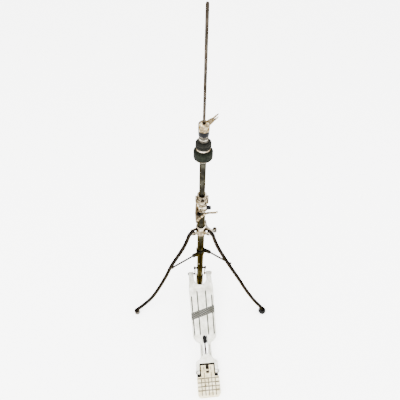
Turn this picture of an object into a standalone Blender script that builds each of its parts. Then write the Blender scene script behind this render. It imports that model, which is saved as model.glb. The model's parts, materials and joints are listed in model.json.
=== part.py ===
"""Hi-hat stand without cymbals: two-piece column, folding tripod, pull rod, clutch and pedal."""
import math

import bmesh
import bpy
import numpy as np
from mathutils import Matrix, Vector

# Frame: metres, +Z up, origin on the floor at the column's axis, pedal along -Y, +X to the player's right.
GAP = 0.0003  # between pieces that touch
RUN = 0.0001  # radial clearance of a moving fit
SIDES = 20  # sides of a round piece

# Column
LOWER_TUBE_R = 0.0111
LOWER_BORE_R = 0.0095
LOWER_TUBE_LOW = 0.0303
LOWER_TUBE_TOP = 0.5140
UPPER_TUBE_R = 0.00795
UPPER_BORE_R = 0.0067
UPPER_TUBE_LOW = 0.3000
UPPER_TUBE_TOP = 0.6655
ROD_R = 0.0030
ROD_TOP = 0.9770

# Tripod, in a radial plane: r from the column's axis, z up
LEG_AZIMUTHS = {"left": 202.0, "right": 330.0, "rear": 70.0}
LEG_PIVOT = (0.0265, 0.3755)
LEG_WIDTH = 0.0110
LEG_DEPTH = 0.0062
LEG_WALL = 0.0016
FOOT_R = 0.2560
BRACE_PIVOT = (0.0275, 0.2510)
BRACE_END = (0.1050, 0.2330)
BRACE_THICK = 0.0030
BRACE_HEIGHT = 0.0080
RIVET_R = 0.0025

# Pedal
HINGE_Y = -0.3140
HINGE_Z = 0.0155
HINGE_PIN_R = 0.0032
TOE_Z = 0.0850
TOE_PIN_R = 0.0030
TOE_EYE_PLAY = 0.0013  # open pivot at the links' lower eyes
BOARD_THICK = 0.0060
BOARD_SLOPE = math.atan2(TOE_Z - HINGE_Z, -HINGE_Y)
TOE_REACH = math.hypot(TOE_Z - HINGE_Z, HINGE_Y)
LINK_X = 0.0165  # inner face of a side link
LINK_THICK = 0.0030
CROSS_BAR_Z = 0.1300
CROSS_BAR_R = 0.0035
PULL_TRAVEL = 0.0470

# Cymbal seat and clutch
SEAT_Z = 0.6860  # top of the seat felt
SEAT_FELT_R = 0.0227
CLUTCH_Z = 0.6867  # underside of the clutch, resting on the seat
CLUTCH_R = 0.0124
SLEEVE_R = 0.0060
WING_AZIMUTH = 45.7
WING_Z = 0.7500

# Colour (linear), metallic, roughness
DARK_CHROME = ((0.13, 0.12, 0.11), 1.0, 0.22)
BRIGHT_CHROME = ((0.62, 0.61, 0.58), 1.0, 0.15)
CAST_ALUMINIUM = ((0.60, 0.59, 0.55), 1.0, 0.38)
BARE_STEEL = ((0.32, 0.29, 0.25), 1.0, 0.35)
BLACK_RUBBER = ((0.015, 0.015, 0.015), 0.0, 0.75)
GREY_FELT = ((0.05, 0.05, 0.048), 0.0, 0.95)
BLACK_NYLON = ((0.02, 0.02, 0.02), 0.0, 0.45)
BROWN_CASTING = ((0.26, 0.22, 0.17), 1.0, 0.40)


def clear_scene():
    for old in list(bpy.data.objects):
        bpy.data.objects.remove(old, do_unlink=True)


def mesh_from(points, faces):
    """Mesh of the given points and faces, its faces turned outwards."""
    work = bmesh.new()
    corners = [work.verts.new(point) for point in points]
    for face in faces:
        work.faces.new([corners[i] for i in face])
    bmesh.ops.recalc_face_normals(work, faces=work.faces)
    mesh = bpy.data.meshes.new("piece")
    work.to_mesh(mesh)
    work.free()
    return mesh


def turned(profile, start=(0, 0, 0), direction=(0, 0, 1), sides=SIDES):
    """Solid of revolution. The profile lists (radius, height) round the section, or from pole to pole."""
    aim = Matrix.Translation(start) @ Vector((0, 0, 1)).rotation_difference(Vector(direction)).to_matrix().to_4x4()
    points = []
    rings = []
    for radius, height in profile:
        steps = 1 if radius == 0 else sides
        rings.append(range(len(points), len(points) + steps))
        for step in range(steps):
            angle = 2 * math.pi * step / sides
            points.append(aim @ Vector((radius * math.cos(angle), radius * math.sin(angle), height)))
    closed = profile[0][0] > 0
    pairs = list(zip(rings, rings[1:] + rings[:1])) if closed else list(zip(rings, rings[1:]))
    faces = []
    for low, high in pairs:
        for step in range(sides):
            after = (step + 1) % sides
            ring = [low[step % len(low)], low[after % len(low)], high[after % len(high)], high[step % len(high)]]
            if len(set(ring)) > 2:
                faces.append(list(dict.fromkeys(ring)))
    return mesh_from(points, faces)


def rod(radius, start, end, sides=SIDES):
    """Plain round bar between two points."""
    reach = Vector(end) - Vector(start)
    profile = [(0, 0), (radius, 0), (radius, reach.length), (0, reach.length)]
    return turned(profile, start, reach, sides)


def ring(inner, outer, low, high, edge=0.0, sides=SIDES):
    """Ring round the Z axis with its outer edges chamfered."""
    section = [(inner, low), (outer - edge, low), (outer, low + edge), (outer, high - edge), (outer - edge, high)]
    if edge == 0.0:
        section = [(inner, low), (outer, low), (outer, high)]
    return turned(section + [(inner, high)], sides=sides)


def prism(outline, low, high, place=Matrix()):
    """Outline in X and Y pushed along Z, then placed."""
    count = len(outline)
    points = [place @ Vector((x, y, low)) for x, y in outline] + [place @ Vector((x, y, high)) for x, y in outline]
    faces = [list(range(count)), list(range(count, 2 * count))]
    faces += [[i, (i + 1) % count, count + (i + 1) % count, count + i] for i in range(count)]
    return mesh_from(points, faces)


def block(low, high):
    outline = [(low[0], low[1]), (high[0], low[1]), (high[0], high[1]), (low[0], high[1])]
    return prism(outline, low[2], high[2])


def arc(centre, radius, start, end, steps):
    """Points on an arc, angles in degrees."""
    angles = np.radians(np.linspace(start, end, steps + 1))
    return [(centre[0] + radius * math.cos(a), centre[1] + radius * math.sin(a)) for a in angles]


def slot_outline(centre, half_length, radius, steps=6):
    """Round-ended slot lying along Y."""
    upper = arc((centre[0], centre[1] + half_length - radius), radius, 0, 180, steps)
    lower = arc((centre[0], centre[1] - half_length + radius), radius, 180, 360, steps)
    return upper + lower


def smooth_path(points, steps):
    """Catmull-Rom curve through the points."""
    knots = np.array(points, float)
    knots = np.vstack([2 * knots[0] - knots[1], knots, 2 * knots[-1] - knots[-2]])
    t = np.linspace(0, 1, steps, endpoint=False)[:, None]
    runs = []
    for a, b, c, d in zip(knots, knots[1:], knots[2:], knots[3:]):
        bend = 2 * a - 5 * b + 4 * c - d
        runs.append(0.5 * (2 * b + (c - a) * t + bend * t**2 + (3 * b - a - 3 * c + d) * t**3))
    return np.vstack(runs + [knots[-2:-1]])


def swept(section, path):
    """Section carried along a path in the XZ plane. The section lists (across, above) the path."""
    path = np.array(path, float)
    slope = np.gradient(path, axis=0)
    slope /= np.linalg.norm(slope, axis=1)[:, None]
    points = []
    for (x, z), (run, rise) in zip(path, slope):
        points += [(x - rise * above, across, z + run * above) for across, above in section]
    count = len(section)
    faces = [list(range(count)), list(range(len(points) - count, len(points)))]
    for step in range(len(path) - 1):
        base = step * count
        faces += [[base + i, base + (i + 1) % count, base + count + (i + 1) % count, base + count + i]
                  for i in range(count)]
    return mesh_from(points, faces)


def bent_rod(radius, path, sides=10):
    """Round bar along any path of points in space, kept at right angles to it."""
    path = np.array(path, float)
    slope = np.gradient(path, axis=0)
    points = []
    for centre, along in zip(path, slope):
        aim = Vector((0, 1, 0.001)).cross(Vector(along)).normalized()
        side = Vector(along).cross(aim).normalized()
        for step in range(sides):
            angle = 2 * math.pi * step / sides
            points.append(Vector(centre) + radius * (math.cos(angle) * aim + math.sin(angle) * side))
    faces = [list(range(sides)), list(range(len(points) - sides, len(points)))]
    for step in range(len(path) - 1):
        base = step * sides
        faces += [[base + i, base + (i + 1) % sides, base + sides + (i + 1) % sides, base + sides + i]
                  for i in range(sides)]
    return mesh_from(points, faces)


def axis_frame(name, place, turn=(0, 0, 0)):
    """Empty on a joint's axis."""
    frame = bpy.data.objects.new(name, None)
    bpy.context.collection.objects.link(frame)
    frame.location = place
    frame.rotation_euler = turn
    return frame


def add_node(name, mesh, look, frame=None, home=(0, 0, 0)):
    """Named piece. home is where its frame's empty sits in the piece's own coordinates."""
    colour, metallic, roughness = look
    material = bpy.data.materials.new(name)
    material.use_nodes = True
    shader = material.node_tree.nodes["Principled BSDF"]
    shader.inputs["Base Color"].default_value = (*colour, 1)
    shader.inputs["Metallic"].default_value = metallic
    shader.inputs["Roughness"].default_value = roughness
    mesh.name = name
    mesh.materials.append(material)
    mesh.shade_smooth()
    mesh.set_sharp_from_angle(angle=math.radians(35))
    piece = bpy.data.objects.new(name, mesh)
    bpy.context.collection.objects.link(piece)
    piece.parent = frame
    piece.location = -Vector(home)
    return piece


def shape(piece, operation, *meshes):
    """Adds to or cuts from a piece with hidden tool shapes in the piece's own coordinates."""
    for count, mesh in enumerate(meshes):
        tool = bpy.data.objects.new(f"{piece.name}_{operation.lower()}_{count}", mesh)
        bpy.context.collection.objects.link(tool)
        tool.parent = piece.parent
        tool.location = piece.location
        tool.hide_render = True
        tool.display_type = "WIRE"
        change = piece.modifiers.new(tool.name, "BOOLEAN")
        change.operation = operation
        change.object = tool
        change.solver = "EXACT"


def make_column():
    lower = add_node("lower_tube", ring(LOWER_BORE_R, LOWER_TUBE_R, LOWER_TUBE_LOW, LOWER_TUBE_TOP), DARK_CHROME)
    slot_width = CROSS_BAR_R + 0.0008
    slot_low = CROSS_BAR_Z - PULL_TRAVEL - 0.006
    shape(lower, "DIFFERENCE", block((-0.02, -slot_width, slot_low), (0.02, slot_width, CROSS_BAR_Z + 0.007)))
    socket_bore = LOWER_TUBE_R + GAP
    spigot = LOWER_BORE_R - GAP
    socket = add_node("base_socket", turned([
        (0, 0.0123), (0.0126, 0.0123), (0.0132, 0.0150), (0.0132, 0.0740), (0.0126, 0.0750), (socket_bore, 0.0750),
        (socket_bore, 0.0300), (spigot, 0.0300), (spigot, 0.0437), (0, 0.0437)]), DARK_CHROME)
    shape(socket, "UNION", block((-0.0065, -0.0260, 0.0035), (0.0065, -0.0128, 0.0160)))
    add_node("base_rubber", turned([
        (0, 0), (0.0095, 0), (0.0118, 0.0022), (0.0126, 0.0060), (0.0126, 0.0120), (0, 0.0120)]), BLACK_RUBBER)
    add_node("spring_seat", ring(0.0040, LOWER_BORE_R - GAP, 0.0440, 0.0460), BARE_STEEL)
    add_node("tube_bush", turned([
        (UPPER_TUBE_R + RUN, 0.4830), (LOWER_BORE_R - GAP, 0.4830), (LOWER_BORE_R - GAP, 0.5143), (0.0108, 0.5143),
        (0.0108, 0.5163), (UPPER_TUBE_R + RUN, 0.5163)]), BLACK_NYLON)


LEVER_AXIS = (-0.0130, -0.0250, 0.4580)
KNOB_AXIS = (0.0116, -0.0160, 0.4975)  # on the right face of the clamp's front lug


def make_height_clamp():
    """Split casting on the lower tube's top: ring, front lug, side ears and a spine with the lever's boss."""
    lip_r = UPPER_TUBE_R + GAP
    body = add_node("clamp_body", turned([
        (LOWER_TUBE_R + GAP, 0.4750), (0.0146, 0.4750), (0.0152, 0.4770), (0.0152, 0.5205), (0.0146, 0.5215),
        (lip_r, 0.5215), (lip_r, 0.5167), (LOWER_TUBE_R + GAP, 0.5167)]), BRIGHT_CHROME)
    spine = prism(slot_outline((0, 0.4650), 0.0570, 0.0085), -0.0185, -0.0090,
                  Matrix(((0, 0, 1, 0), (1, 0, 0, 0), (0, 1, 0, 0), (0, 0, 0, 1))))
    boss = rod(0.0058, (LEVER_AXIS[0], -0.0210, LEVER_AXIS[2]), (LEVER_AXIS[0], 0.0060, LEVER_AXIS[2]))
    ears = block((0.0135, -0.0045, 0.4980), (0.0178, 0.0045, 0.5275)), \
        block((-0.0178, -0.0045, 0.5050), (-0.0135, 0.0045, 0.5280))
    lug = block((-0.0105, -0.0205, 0.4905), (0.0108, -0.0100, 0.5045))
    shape(body, "UNION", spine, boss, lug, *ears)
    x, y, z = KNOB_AXIS
    shape(body, "DIFFERENCE", rod(LOWER_TUBE_R + GAP, (0, 0, 0.3900), (0, 0, 0.5166)),
          rod(0.0034, (x - 0.0065, y, z), (x + 0.0010, y, z)),
          rod(0.0034, (LEVER_AXIS[0], -0.0225, LEVER_AXIS[2]), (LEVER_AXIS[0], -0.0155, LEVER_AXIS[2])))
    knob_frame = axis_frame("clamp_knob_axis", KNOB_AXIS)
    add_node("clamp_knob", turned([
        (0, -0.0050), (0.0030, -0.0050), (0.0030, 0), (0.0050, 0), (0.0058, 0.0012), (0.0058, 0.0100),
        (0.0046, 0.0120), (0, 0.0120)], KNOB_AXIS, (1, 0, 0)), BLACK_NYLON, knob_frame, KNOB_AXIS)
    lever_frame = axis_frame("clamp_lever_axis", LEVER_AXIS)
    x, y, z = LEVER_AXIS
    route = smooth_path([(x + 0.002, y, z + 0.002), (x + 0.010, y, z + 0.0115), (x + 0.0205, y, z + 0.0245),
                         (x + 0.0265, y, z + 0.0280), (x + 0.040, y, z + 0.0275), (x + 0.0490, y, z + 0.0275),
                         (x + 0.0525, y, z + 0.0315)], 3)
    lever = add_node("clamp_lever", bent_rod(0.0030, route), BRIGHT_CHROME, lever_frame, LEVER_AXIS)
    shape(lever, "UNION", turned([
        (0, -0.0045), (0.0035, -0.0040), (0.0052, -0.0020), (0.0052, 0.0035), (0.0030, 0.0035), (0.0030, 0.0090),
        (0, 0.0090)], LEVER_AXIS, (0, 1, 0)))


def make_upper_tube():
    frame = axis_frame("upper_tube_axis", (0, 0, UPPER_TUBE_LOW))
    home = (0, 0, UPPER_TUBE_LOW)
    add_node("upper_tube", ring(UPPER_BORE_R, UPPER_TUBE_R, UPPER_TUBE_LOW, UPPER_TUBE_TOP), DARK_CHROME, frame, home)
    grip = UPPER_TUBE_R + GAP
    bolt_z = 0.5287
    collar = add_node("memory_collar", ring(grip, 0.0130, 0.5220, 0.5350, 0.0010), BRIGHT_CHROME, frame, home)
    shape(collar, "UNION", rod(0.0058, (0, -0.0160, bolt_z), (0, -0.0090, bolt_z)))
    shape(collar, "DIFFERENCE", rod(grip, (0, 0, 0.5100), (0, 0, 0.5500)),
          rod(0.0033, (0, -0.0170, bolt_z), (0, -0.0095, bolt_z)))
    add_node("memory_bolt", turned([
        (0, 0), (0.0030, 0), (0.0030, 0.0065), (0.0044, 0.0065), (0.0044, 0.0100), (0, 0.0100)],
        (0, -0.0100, bolt_z), (0, -1, 0), 12), BARE_STEEL, frame, home)
    add_node("seat_ring", ring(grip, 0.0118, 0.6530, 0.6635, 0.0010), DARK_CHROME, frame, home)
    add_node("seat_washer", turned([
        (0.0092, 0.6638), (0.0125, 0.6638), (0.0218, 0.6651), (0.0224, 0.6667), (0.0092, 0.6667)]),
        BRIGHT_CHROME, frame, home)
    add_node("seat_felt", ring(0.0092, SEAT_FELT_R, 0.6670, SEAT_Z, 0.0016), GREY_FELT, frame, home)
    add_node("rod_bush", turned([
        (ROD_R + RUN, 0.6465), (UPPER_BORE_R - GAP, 0.6465), (UPPER_BORE_R - GAP, 0.6658), (0.0082, 0.6658),
        (0.0082, 0.6680), (ROD_R + RUN, 0.6680)]), BLACK_NYLON, frame, home)


def make_clutch():
    """Stored resting on the seat: cup nut, two felts, two knurled lock nuts, band and body on a sleeve."""
    home = (0, 0, CLUTCH_Z)
    frame = axis_frame("clutch_axis", home)
    thread = SLEEVE_R + GAP
    bore = ROD_R + RUN
    add_node("clutch_sleeve", ring(bore, SLEEVE_R, 0.6875, 0.7400), BARE_STEEL, frame, home)
    add_node("clutch_cup", turned([
        (thread, CLUTCH_Z), (0.0110, CLUTCH_Z), (0.0116, 0.6892), (0.0166, 0.6905), (0.0172, 0.6915),
        (0.0172, 0.6950), (thread, 0.6950)]), BRIGHT_CHROME, frame, home)
    add_node("clutch_felt_lower", ring(thread, 0.0182, 0.6953, 0.7023, 0.0012), GREY_FELT, frame, home)
    add_node("clutch_felt_upper", ring(thread, 0.0182, 0.7026, 0.7096, 0.0012), GREY_FELT, frame, home)
    for name, low, high in (("lock_nut_lower", 0.7099, 0.7190), ("lock_nut_upper", 0.7193, 0.7284)):
        nut_frame = axis_frame(f"{name}_axis", (0, 0, low))
        add_node(name, ring(thread, 0.0108, low, high, 0.0014), BRIGHT_CHROME, nut_frame, (0, 0, low))
    add_node("clutch_band", ring(thread, 0.0120, 0.7287, 0.7405, 0.0006), BLACK_NYLON, frame, home)
    body = add_node("clutch_body", ring(bore, CLUTCH_R, 0.7408, 0.7600, 0.0020), BRIGHT_CHROME, frame, home)
    turn = math.radians(WING_AZIMUTH)
    out = Vector((math.cos(turn), math.sin(turn), 0))
    lift = Vector((0, 0, WING_Z))
    shape(body, "UNION", rod(0.0062, lift + 0.0070 * out, lift + 0.0175 * out))
    shape(body, "DIFFERENCE", rod(bore, (0, 0, 0.7200), (0, 0, 0.7700)),
          rod(0.0034, lift + 0.0120 * out, lift + 0.0190 * out))
    wing_frame = axis_frame("clutch_wing_axis", lift + 0.0180 * out, (0, 0, turn))
    wing_home = (0.0180, 0, 0)
    screw = add_node("clutch_wing_screw", turned([
        (0, 0.0125), (0.0030, 0.0125), (0.0030, 0.0180), (0.0055, 0.0180), (0.0062, 0.0200), (0.0050, 0.0300),
        (0, 0.0310)], direction=(1, 0, 0)), BRIGHT_CHROME, wing_frame, wing_home)
    upright = Matrix(((1, 0, 0, 0), (0, 0, -1, 0), (0, 1, 0, 0), (0, 0, 0, 1)))
    blade = [(0.0195, 0.0005), (0.0300, 0.0005), (0.0420, 0.0012), (0.0500, 0.0026), (0.0522, 0.0045),
             (0.0505, 0.0062), (0.0430, 0.0068), (0.0300, 0.0068), (0.0210, 0.0058)]
    mirrored = [(x, -y) for x, y in reversed(blade)]
    shape(screw, "UNION", prism(blade, -0.0013, 0.0013, upright), prism(mirrored, -0.0013, 0.0013, upright))


LEG_SHANKS = {  # below the brace's rivet; the left leg is bent in and flares out again near the floor
    "left": [(0.1300, 0.1760), (0.1650, 0.1080), (0.1960, 0.0630), (0.2290, 0.0380), (0.2520, 0.0250)],
    "right": [(0.1440, 0.1720), (0.1790, 0.1130), (0.2120, 0.0670), (0.2380, 0.0395), (0.2525, 0.0265)],
    "rear": [(0.1440, 0.1720), (0.1790, 0.1130), (0.2120, 0.0670), (0.2380, 0.0395), (0.2525, 0.0265)]}


def leg_route(side):
    """Leg's middle line from inside the hub to inside its foot: flat shoulder, long shank, soft flare."""
    r, z = LEG_PIVOT
    shoulder = [(r - 0.0065, z), (r + 0.0045, z - 0.0003), (r + 0.0135, z - 0.0090), (r + 0.0200, z - 0.0300)]
    return smooth_path(shoulder + [(0.0640, 0.3040), BRACE_END] + LEG_SHANKS[side] + [(FOOT_R, 0.0085)], 3)


def make_spider():
    """Upper collar with a pair of ears for each leg."""
    low, high = LEG_PIVOT[1] - 0.0200, LEG_PIVOT[1] + 0.0220
    spider = add_node("leg_spider", ring(LOWER_TUBE_R + GAP, 0.0152, low, high, 0.0010), BRIGHT_CHROME)
    ears = []
    for azimuth in LEG_AZIMUTHS.values():
        ears += clevis(azimuth, LEG_PIVOT, 0.0, LEG_WIDTH)
    shape(spider, "UNION", *ears)
    shape(spider, "DIFFERENCE", rod(LOWER_TUBE_R + GAP, (0, 0, low - 0.005), (0, 0, high + 0.005)),
          *[rivet_hole(azimuth, LEG_PIVOT, 0.0, 0.0110) for azimuth in LEG_AZIMUTHS.values()])
    for side, azimuth in LEG_AZIMUTHS.items():
        reach = LEG_WIDTH / 2 + 0.0046
        add_node(f"leg_pin_{side}", spun_pin(azimuth, LEG_PIVOT, -reach, reach), BARE_STEEL)


def clevis(azimuth, pivot, offset, width):
    """Two ears beside a gap of the given width, standing off the column towards the azimuth."""
    turn = Matrix.Rotation(math.radians(azimuth), 4, "Z")
    upright = turn @ Matrix(((1, 0, 0, 0), (0, 0, -1, 0), (0, 1, 0, 0), (0, 0, 0, 1)))
    root = 0.0050
    outline = [(root, pivot[1] - 0.0072)] + arc(pivot, 0.0062, -70, 80, 5) + [(root, pivot[1] + 0.0055)]
    inner = width / 2 + 0.0005
    outer = inner + 0.0024
    return [prism(outline, -offset + side * inner, -offset + side * outer, upright) for side in (-1, 1)]


def spun_pin(azimuth, pivot, low, high):
    """Round pin with a low head at each end, across the radial plane."""
    turn = math.radians(azimuth)
    across = Vector((-math.sin(turn), math.cos(turn), 0))
    middle = Vector((pivot[0] * math.cos(turn), pivot[0] * math.sin(turn), pivot[1]))
    head = 0.0013
    return turned([
        (0, low), (0.0036, low), (0.0042, low + head), (RIVET_R, low + head), (RIVET_R, high - head),
        (0.0042, high - head), (0.0036, high), (0, high)], middle, across, 12)


def rivet_hole(azimuth, pivot, offset, reach):
    turn = math.radians(azimuth)
    across = Vector((-math.sin(turn), math.cos(turn), 0))
    middle = Vector((pivot[0] * math.cos(turn), pivot[0] * math.sin(turn), pivot[1])) + offset * across
    return rod(RIVET_R + RUN, middle - reach * across, middle + reach * across, 12)


BRACE_OFFSET = LEG_WIDTH / 2 + 0.0005 + BRACE_THICK / 2


def make_brace_collar():
    """Sliding lower collar with a pair of ears for each brace."""
    frame = axis_frame("brace_collar_axis", (0, 0, BRACE_PIVOT[1]))
    home = (0, 0, BRACE_PIVOT[1])
    low, high = BRACE_PIVOT[1] - 0.0120, BRACE_PIVOT[1] + 0.0100
    bore = LOWER_TUBE_R + 2 * RUN
    collar = add_node("brace_collar", ring(bore, 0.0145, low, high, 0.0010), DARK_CHROME, frame, home)
    ears = []
    for azimuth in LEG_AZIMUTHS.values():
        ears += clevis(azimuth, BRACE_PIVOT, BRACE_OFFSET, BRACE_THICK)
    shape(collar, "UNION", *ears)
    shape(collar, "DIFFERENCE", rod(bore, (0, 0, low - 0.005), (0, 0, high + 0.005)),
          *[rivet_hole(azimuth, BRACE_PIVOT, BRACE_OFFSET, 0.0060) for azimuth in LEG_AZIMUTHS.values()])
    for side, azimuth in LEG_AZIMUTHS.items():
        reach = BRACE_THICK / 2 + 0.0046
        pin = spun_pin(azimuth, BRACE_PIVOT, BRACE_OFFSET - reach, BRACE_OFFSET + reach)
        add_node(f"brace_pin_{side}", pin, BARE_STEEL, frame, home)


def make_leg(side, azimuth):
    turn = math.radians(azimuth)
    half = LEG_WIDTH / 2
    top, bottom = LEG_DEPTH / 2, -LEG_DEPTH / 2
    inner = half - LEG_WALL
    section = [(-half, bottom), (-half, top), (half, top), (half, bottom), (inner, bottom), (inner, top - LEG_WALL),
               (-inner, top - LEG_WALL), (-inner, bottom)]
    r, z = LEG_PIVOT
    frame = axis_frame(f"leg_{side}_axis", (r * math.cos(turn), r * math.sin(turn), z), (0, 0, turn))
    leg = add_node(f"leg_{side}", swept(section, leg_route(side)), DARK_CHROME, frame, (r, 0, z))
    shape(leg, "DIFFERENCE", rod(RIVET_R + RUN, (r, -0.010, z), (r, 0.010, z), 12))
    girth = 0.0135 if side == "right" else 0.0096  # only the right foot still has its rubber ball
    pocket = 0.0076
    foot = [(0, 0), (girth - 0.0015, 0), (girth, 0.0030), (girth, 0.0100), (0.5 * (girth + 0.0090), 0.0165),
            (0.0092, 0.0205), (pocket, 0.0205), (pocket, 0.0060), (0, 0.0060)]
    add_node(f"foot_{side}", turned(foot, (FOOT_R, 0, 0), sides=16), BLACK_RUBBER, frame, (r, 0, z))


def make_brace(side, azimuth):
    turn = math.radians(azimuth)
    r, z = BRACE_PIVOT
    frame = axis_frame(f"brace_{side}_axis", (r * math.cos(turn), r * math.sin(turn), z), (0, 0, turn))
    length = math.hypot(BRACE_END[0] - r, BRACE_END[1] - z)
    drop = math.atan2(z - BRACE_END[1], BRACE_END[0] - r)
    end = BRACE_HEIGHT / 2
    outline = arc((0, 0), end, 90, 270, 5) + arc((length, 0), end, -90, 90, 5)
    lie = Matrix.Translation((r, BRACE_OFFSET, z)) @ Matrix.Rotation(drop, 4, "Y")
    upright = Matrix(((1, 0, 0, 0), (0, 0, -1, 0), (0, 1, 0, 0), (0, 0, 0, 1)))
    strap = prism(outline, -BRACE_THICK / 2, BRACE_THICK / 2, lie @ upright)
    brace = add_node(f"brace_{side}", strap, DARK_CHROME, frame, (r, 0, z))
    reach = BRACE_OFFSET + 0.010
    shape(brace, "DIFFERENCE", rod(RIVET_R + RUN, (r, 0, z), (r, reach, z), 12),
          rod(RIVET_R + GAP, (BRACE_END[0], 0, BRACE_END[1]), (BRACE_END[0], reach, BRACE_END[1]), 12))
    inner = LEG_WIDTH / 2 + GAP
    outer = BRACE_OFFSET + BRACE_THICK / 2 + GAP
    add_node(f"brace_rivet_{side}", turned([
        (0, inner), (RIVET_R, inner), (RIVET_R, outer), (0.0044, outer), (0.0036, outer + 0.0015),
        (0, outer + 0.0018)],
        (BRACE_END[0], 0, BRACE_END[1]), (0, 1, 0), 12), BARE_STEEL, frame, (r, 0, z))


def make_pull_rod():
    """Rod through both tubes, its coupler, and the cross bar that comes out of the lower tube's slots."""
    home = (0, 0, CROSS_BAR_Z)
    frame = axis_frame("pull_rod_axis", home)
    add_node("pull_rod", turned([
        (0, 0.4000), (ROD_R, 0.4000), (ROD_R, ROD_TOP - 0.0020), (0.0022, ROD_TOP - 0.0006), (0, ROD_TOP)],
        sides=16), BARE_STEEL, frame, home)
    add_node("rod_coupler", ring(ROD_R + GAP, 0.0058, 0.3700, 0.4200, 0.0010, 16), BARE_STEEL, frame, home)
    add_node("lower_rod", rod(ROD_R, (0, 0, 0.1420), (0, 0, 0.3910), 16), BARE_STEEL, frame, home)
    yoke = add_node("yoke_block", rod(0.0088, (0, 0, 0.1205), (0, 0, 0.1415), 24), BARE_STEEL, frame, home)
    shape(yoke, "DIFFERENCE", rod(CROSS_BAR_R + GAP, (-0.02, 0, CROSS_BAR_Z), (0.02, 0, CROSS_BAR_Z), 20))
    end = LINK_X + LINK_THICK + GAP
    add_node("cross_bar", turned([
        (0, -end - 0.0030), (0.0050, -end - 0.0024), (0.0056, -end), (CROSS_BAR_R, -end), (CROSS_BAR_R, end),
        (0.0056, end), (0.0050, end + 0.0024), (0, end + 0.0030)], (0, 0, CROSS_BAR_Z), (1, 0, 0), 16),
        BARE_STEEL, frame, home)


def make_spring():
    """Compression spring in the lower tube, between its seat and the yoke block."""
    turns, coil_r, wire_r, sides = 7, 0.0072, 0.0010, 5
    low, high = 0.0463 + wire_r, 0.1202 - wire_r
    steps = turns * 10
    angle = np.linspace(0, 2 * math.pi * turns, steps + 1)
    path = np.stack([coil_r * np.cos(angle), coil_r * np.sin(angle), np.linspace(low, high, steps + 1)], axis=1)
    out = path * (1, 1, 0) / coil_r
    lift = np.array([0, 0, 1])
    points = []
    for centre, away in zip(path, out):
        for step in range(sides):
            bend = 2 * math.pi * step / sides
            points.append(centre + wire_r * (math.cos(bend) * away + math.sin(bend) * lift))
    faces = [list(range(sides)), list(range(len(points) - sides, len(points)))]
    for step in range(steps):
        base = step * sides
        faces += [[base + i, base + (i + 1) % sides, base + sides + (i + 1) % sides, base + sides + i]
                  for i in range(sides)]
    add_node("spring", mesh_from(points, faces), BARE_STEEL)


def make_side_link(side, sign):
    """Strap from the cross bar down to the toe pin. Its lower eye is the linkage's open pivot."""
    frame = axis_frame(f"link_{side}_axis", (sign * (LINK_X + LINK_THICK / 2), 0, CROSS_BAR_Z))
    home = frame.location
    top = arc((0, CROSS_BAR_Z), 0.0062, 0, 180, 8)
    eye = TOE_PIN_R + TOE_EYE_PLAY
    bottom = arc((0, TOE_Z), eye + 0.0026, 180, 360, 10)
    waist = 0.0048
    outline = top + [(-waist, CROSS_BAR_Z - 0.012), (-waist, TOE_Z + 0.014)] + bottom
    outline += [(waist, TOE_Z + 0.014), (waist, CROSS_BAR_Z - 0.012)]
    upright = Matrix(((0, 0, sign, 0), (1, 0, 0, 0), (0, 1, 0, 0), (0, 0, 0, 1)))
    link = add_node(f"link_{side}", prism(outline, LINK_X, LINK_X + LINK_THICK, upright), BARE_STEEL, frame, home)
    far = 0.050 * sign
    shape(link, "DIFFERENCE", rod(CROSS_BAR_R + RUN, (0, 0, CROSS_BAR_Z), (far, 0, CROSS_BAR_Z), 20),
          rod(eye, (0, 0, TOE_Z), (far, 0, TOE_Z), 20))


ARM_INNER = 0.0235
ARM_OUTER = 0.0415
FORK_INNER = 0.0250
FORK_OUTER = 0.0358


def board_outline():
    """Footboard seen from above, X across and Y from the heel hinge towards the toe."""
    crotch = [(ARM_INNER * math.sin(a), 0.3030 - ARM_INNER * math.cos(a)) for a in np.radians(np.linspace(0, 90, 9))]
    right = crotch + [(ARM_INNER, TOE_REACH), (ARM_OUTER, TOE_REACH), (ARM_OUTER, 0.2900), (0.0440, 0.2740),
                      (0.0440, 0.2600), (0.0398, 0.1100), (0.0375, 0.1000), (0.0290, 0.0910), (0.0185, 0.0840),
                      (0.0185, 0.0450), (0.0215, 0.0375), (0.0330, 0.0320), (FORK_OUTER, 0.0280), (FORK_OUTER, 0.0),
                      (FORK_INNER, 0.0), (FORK_INNER, 0.0245)]
    left = [(-x, y) for x, y in reversed(right) if x > 0]
    return right + left


def make_footboard():
    hinge = (0, HINGE_Y, HINGE_Z)
    frame = axis_frame("footboard_axis", hinge, (BOARD_SLOPE, 0, 0))
    half = BOARD_THICK / 2
    board = add_node("footboard", prism(board_outline(), -half, half), CAST_ALUMINIUM, frame)
    proud = 0.0002
    for sign in (-1, 1):
        toe = [(sign * x, TOE_REACH, 0) for x in (ARM_INNER - proud, ARM_OUTER + proud)]
        heel = [(sign * x, 0, 0) for x in (FORK_INNER - proud, FORK_OUTER + proud)]
        shape(board, "UNION", rod(0.0072, *toe, 24), rod(0.0066, *heel, 24))
    shape(board, "DIFFERENCE", prism(slot_outline((0, 0.0800), 0.0290, 0.0075), -0.02, 0.02),
          rod(HINGE_PIN_R + RUN, (-0.05, 0, 0), (0.05, 0, 0), 20),
          rod(TOE_PIN_R + GAP, (-0.05, TOE_REACH, 0), (0.05, TOE_REACH, 0), 20))
    for side, sign in (("left", -1), ("right", 1)):
        start = LINK_X - 0.0015
        head = ARM_OUTER + 0.0005
        add_node(f"toe_pin_{side}", turned([
            (0, start), (TOE_PIN_R, start), (TOE_PIN_R, head), (0.0052, head), (0.0046, head + 0.0022),
            (0, head + 0.0026)], (0, TOE_REACH, 0), (sign, 0, 0), 16), BARE_STEEL, frame)


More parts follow.
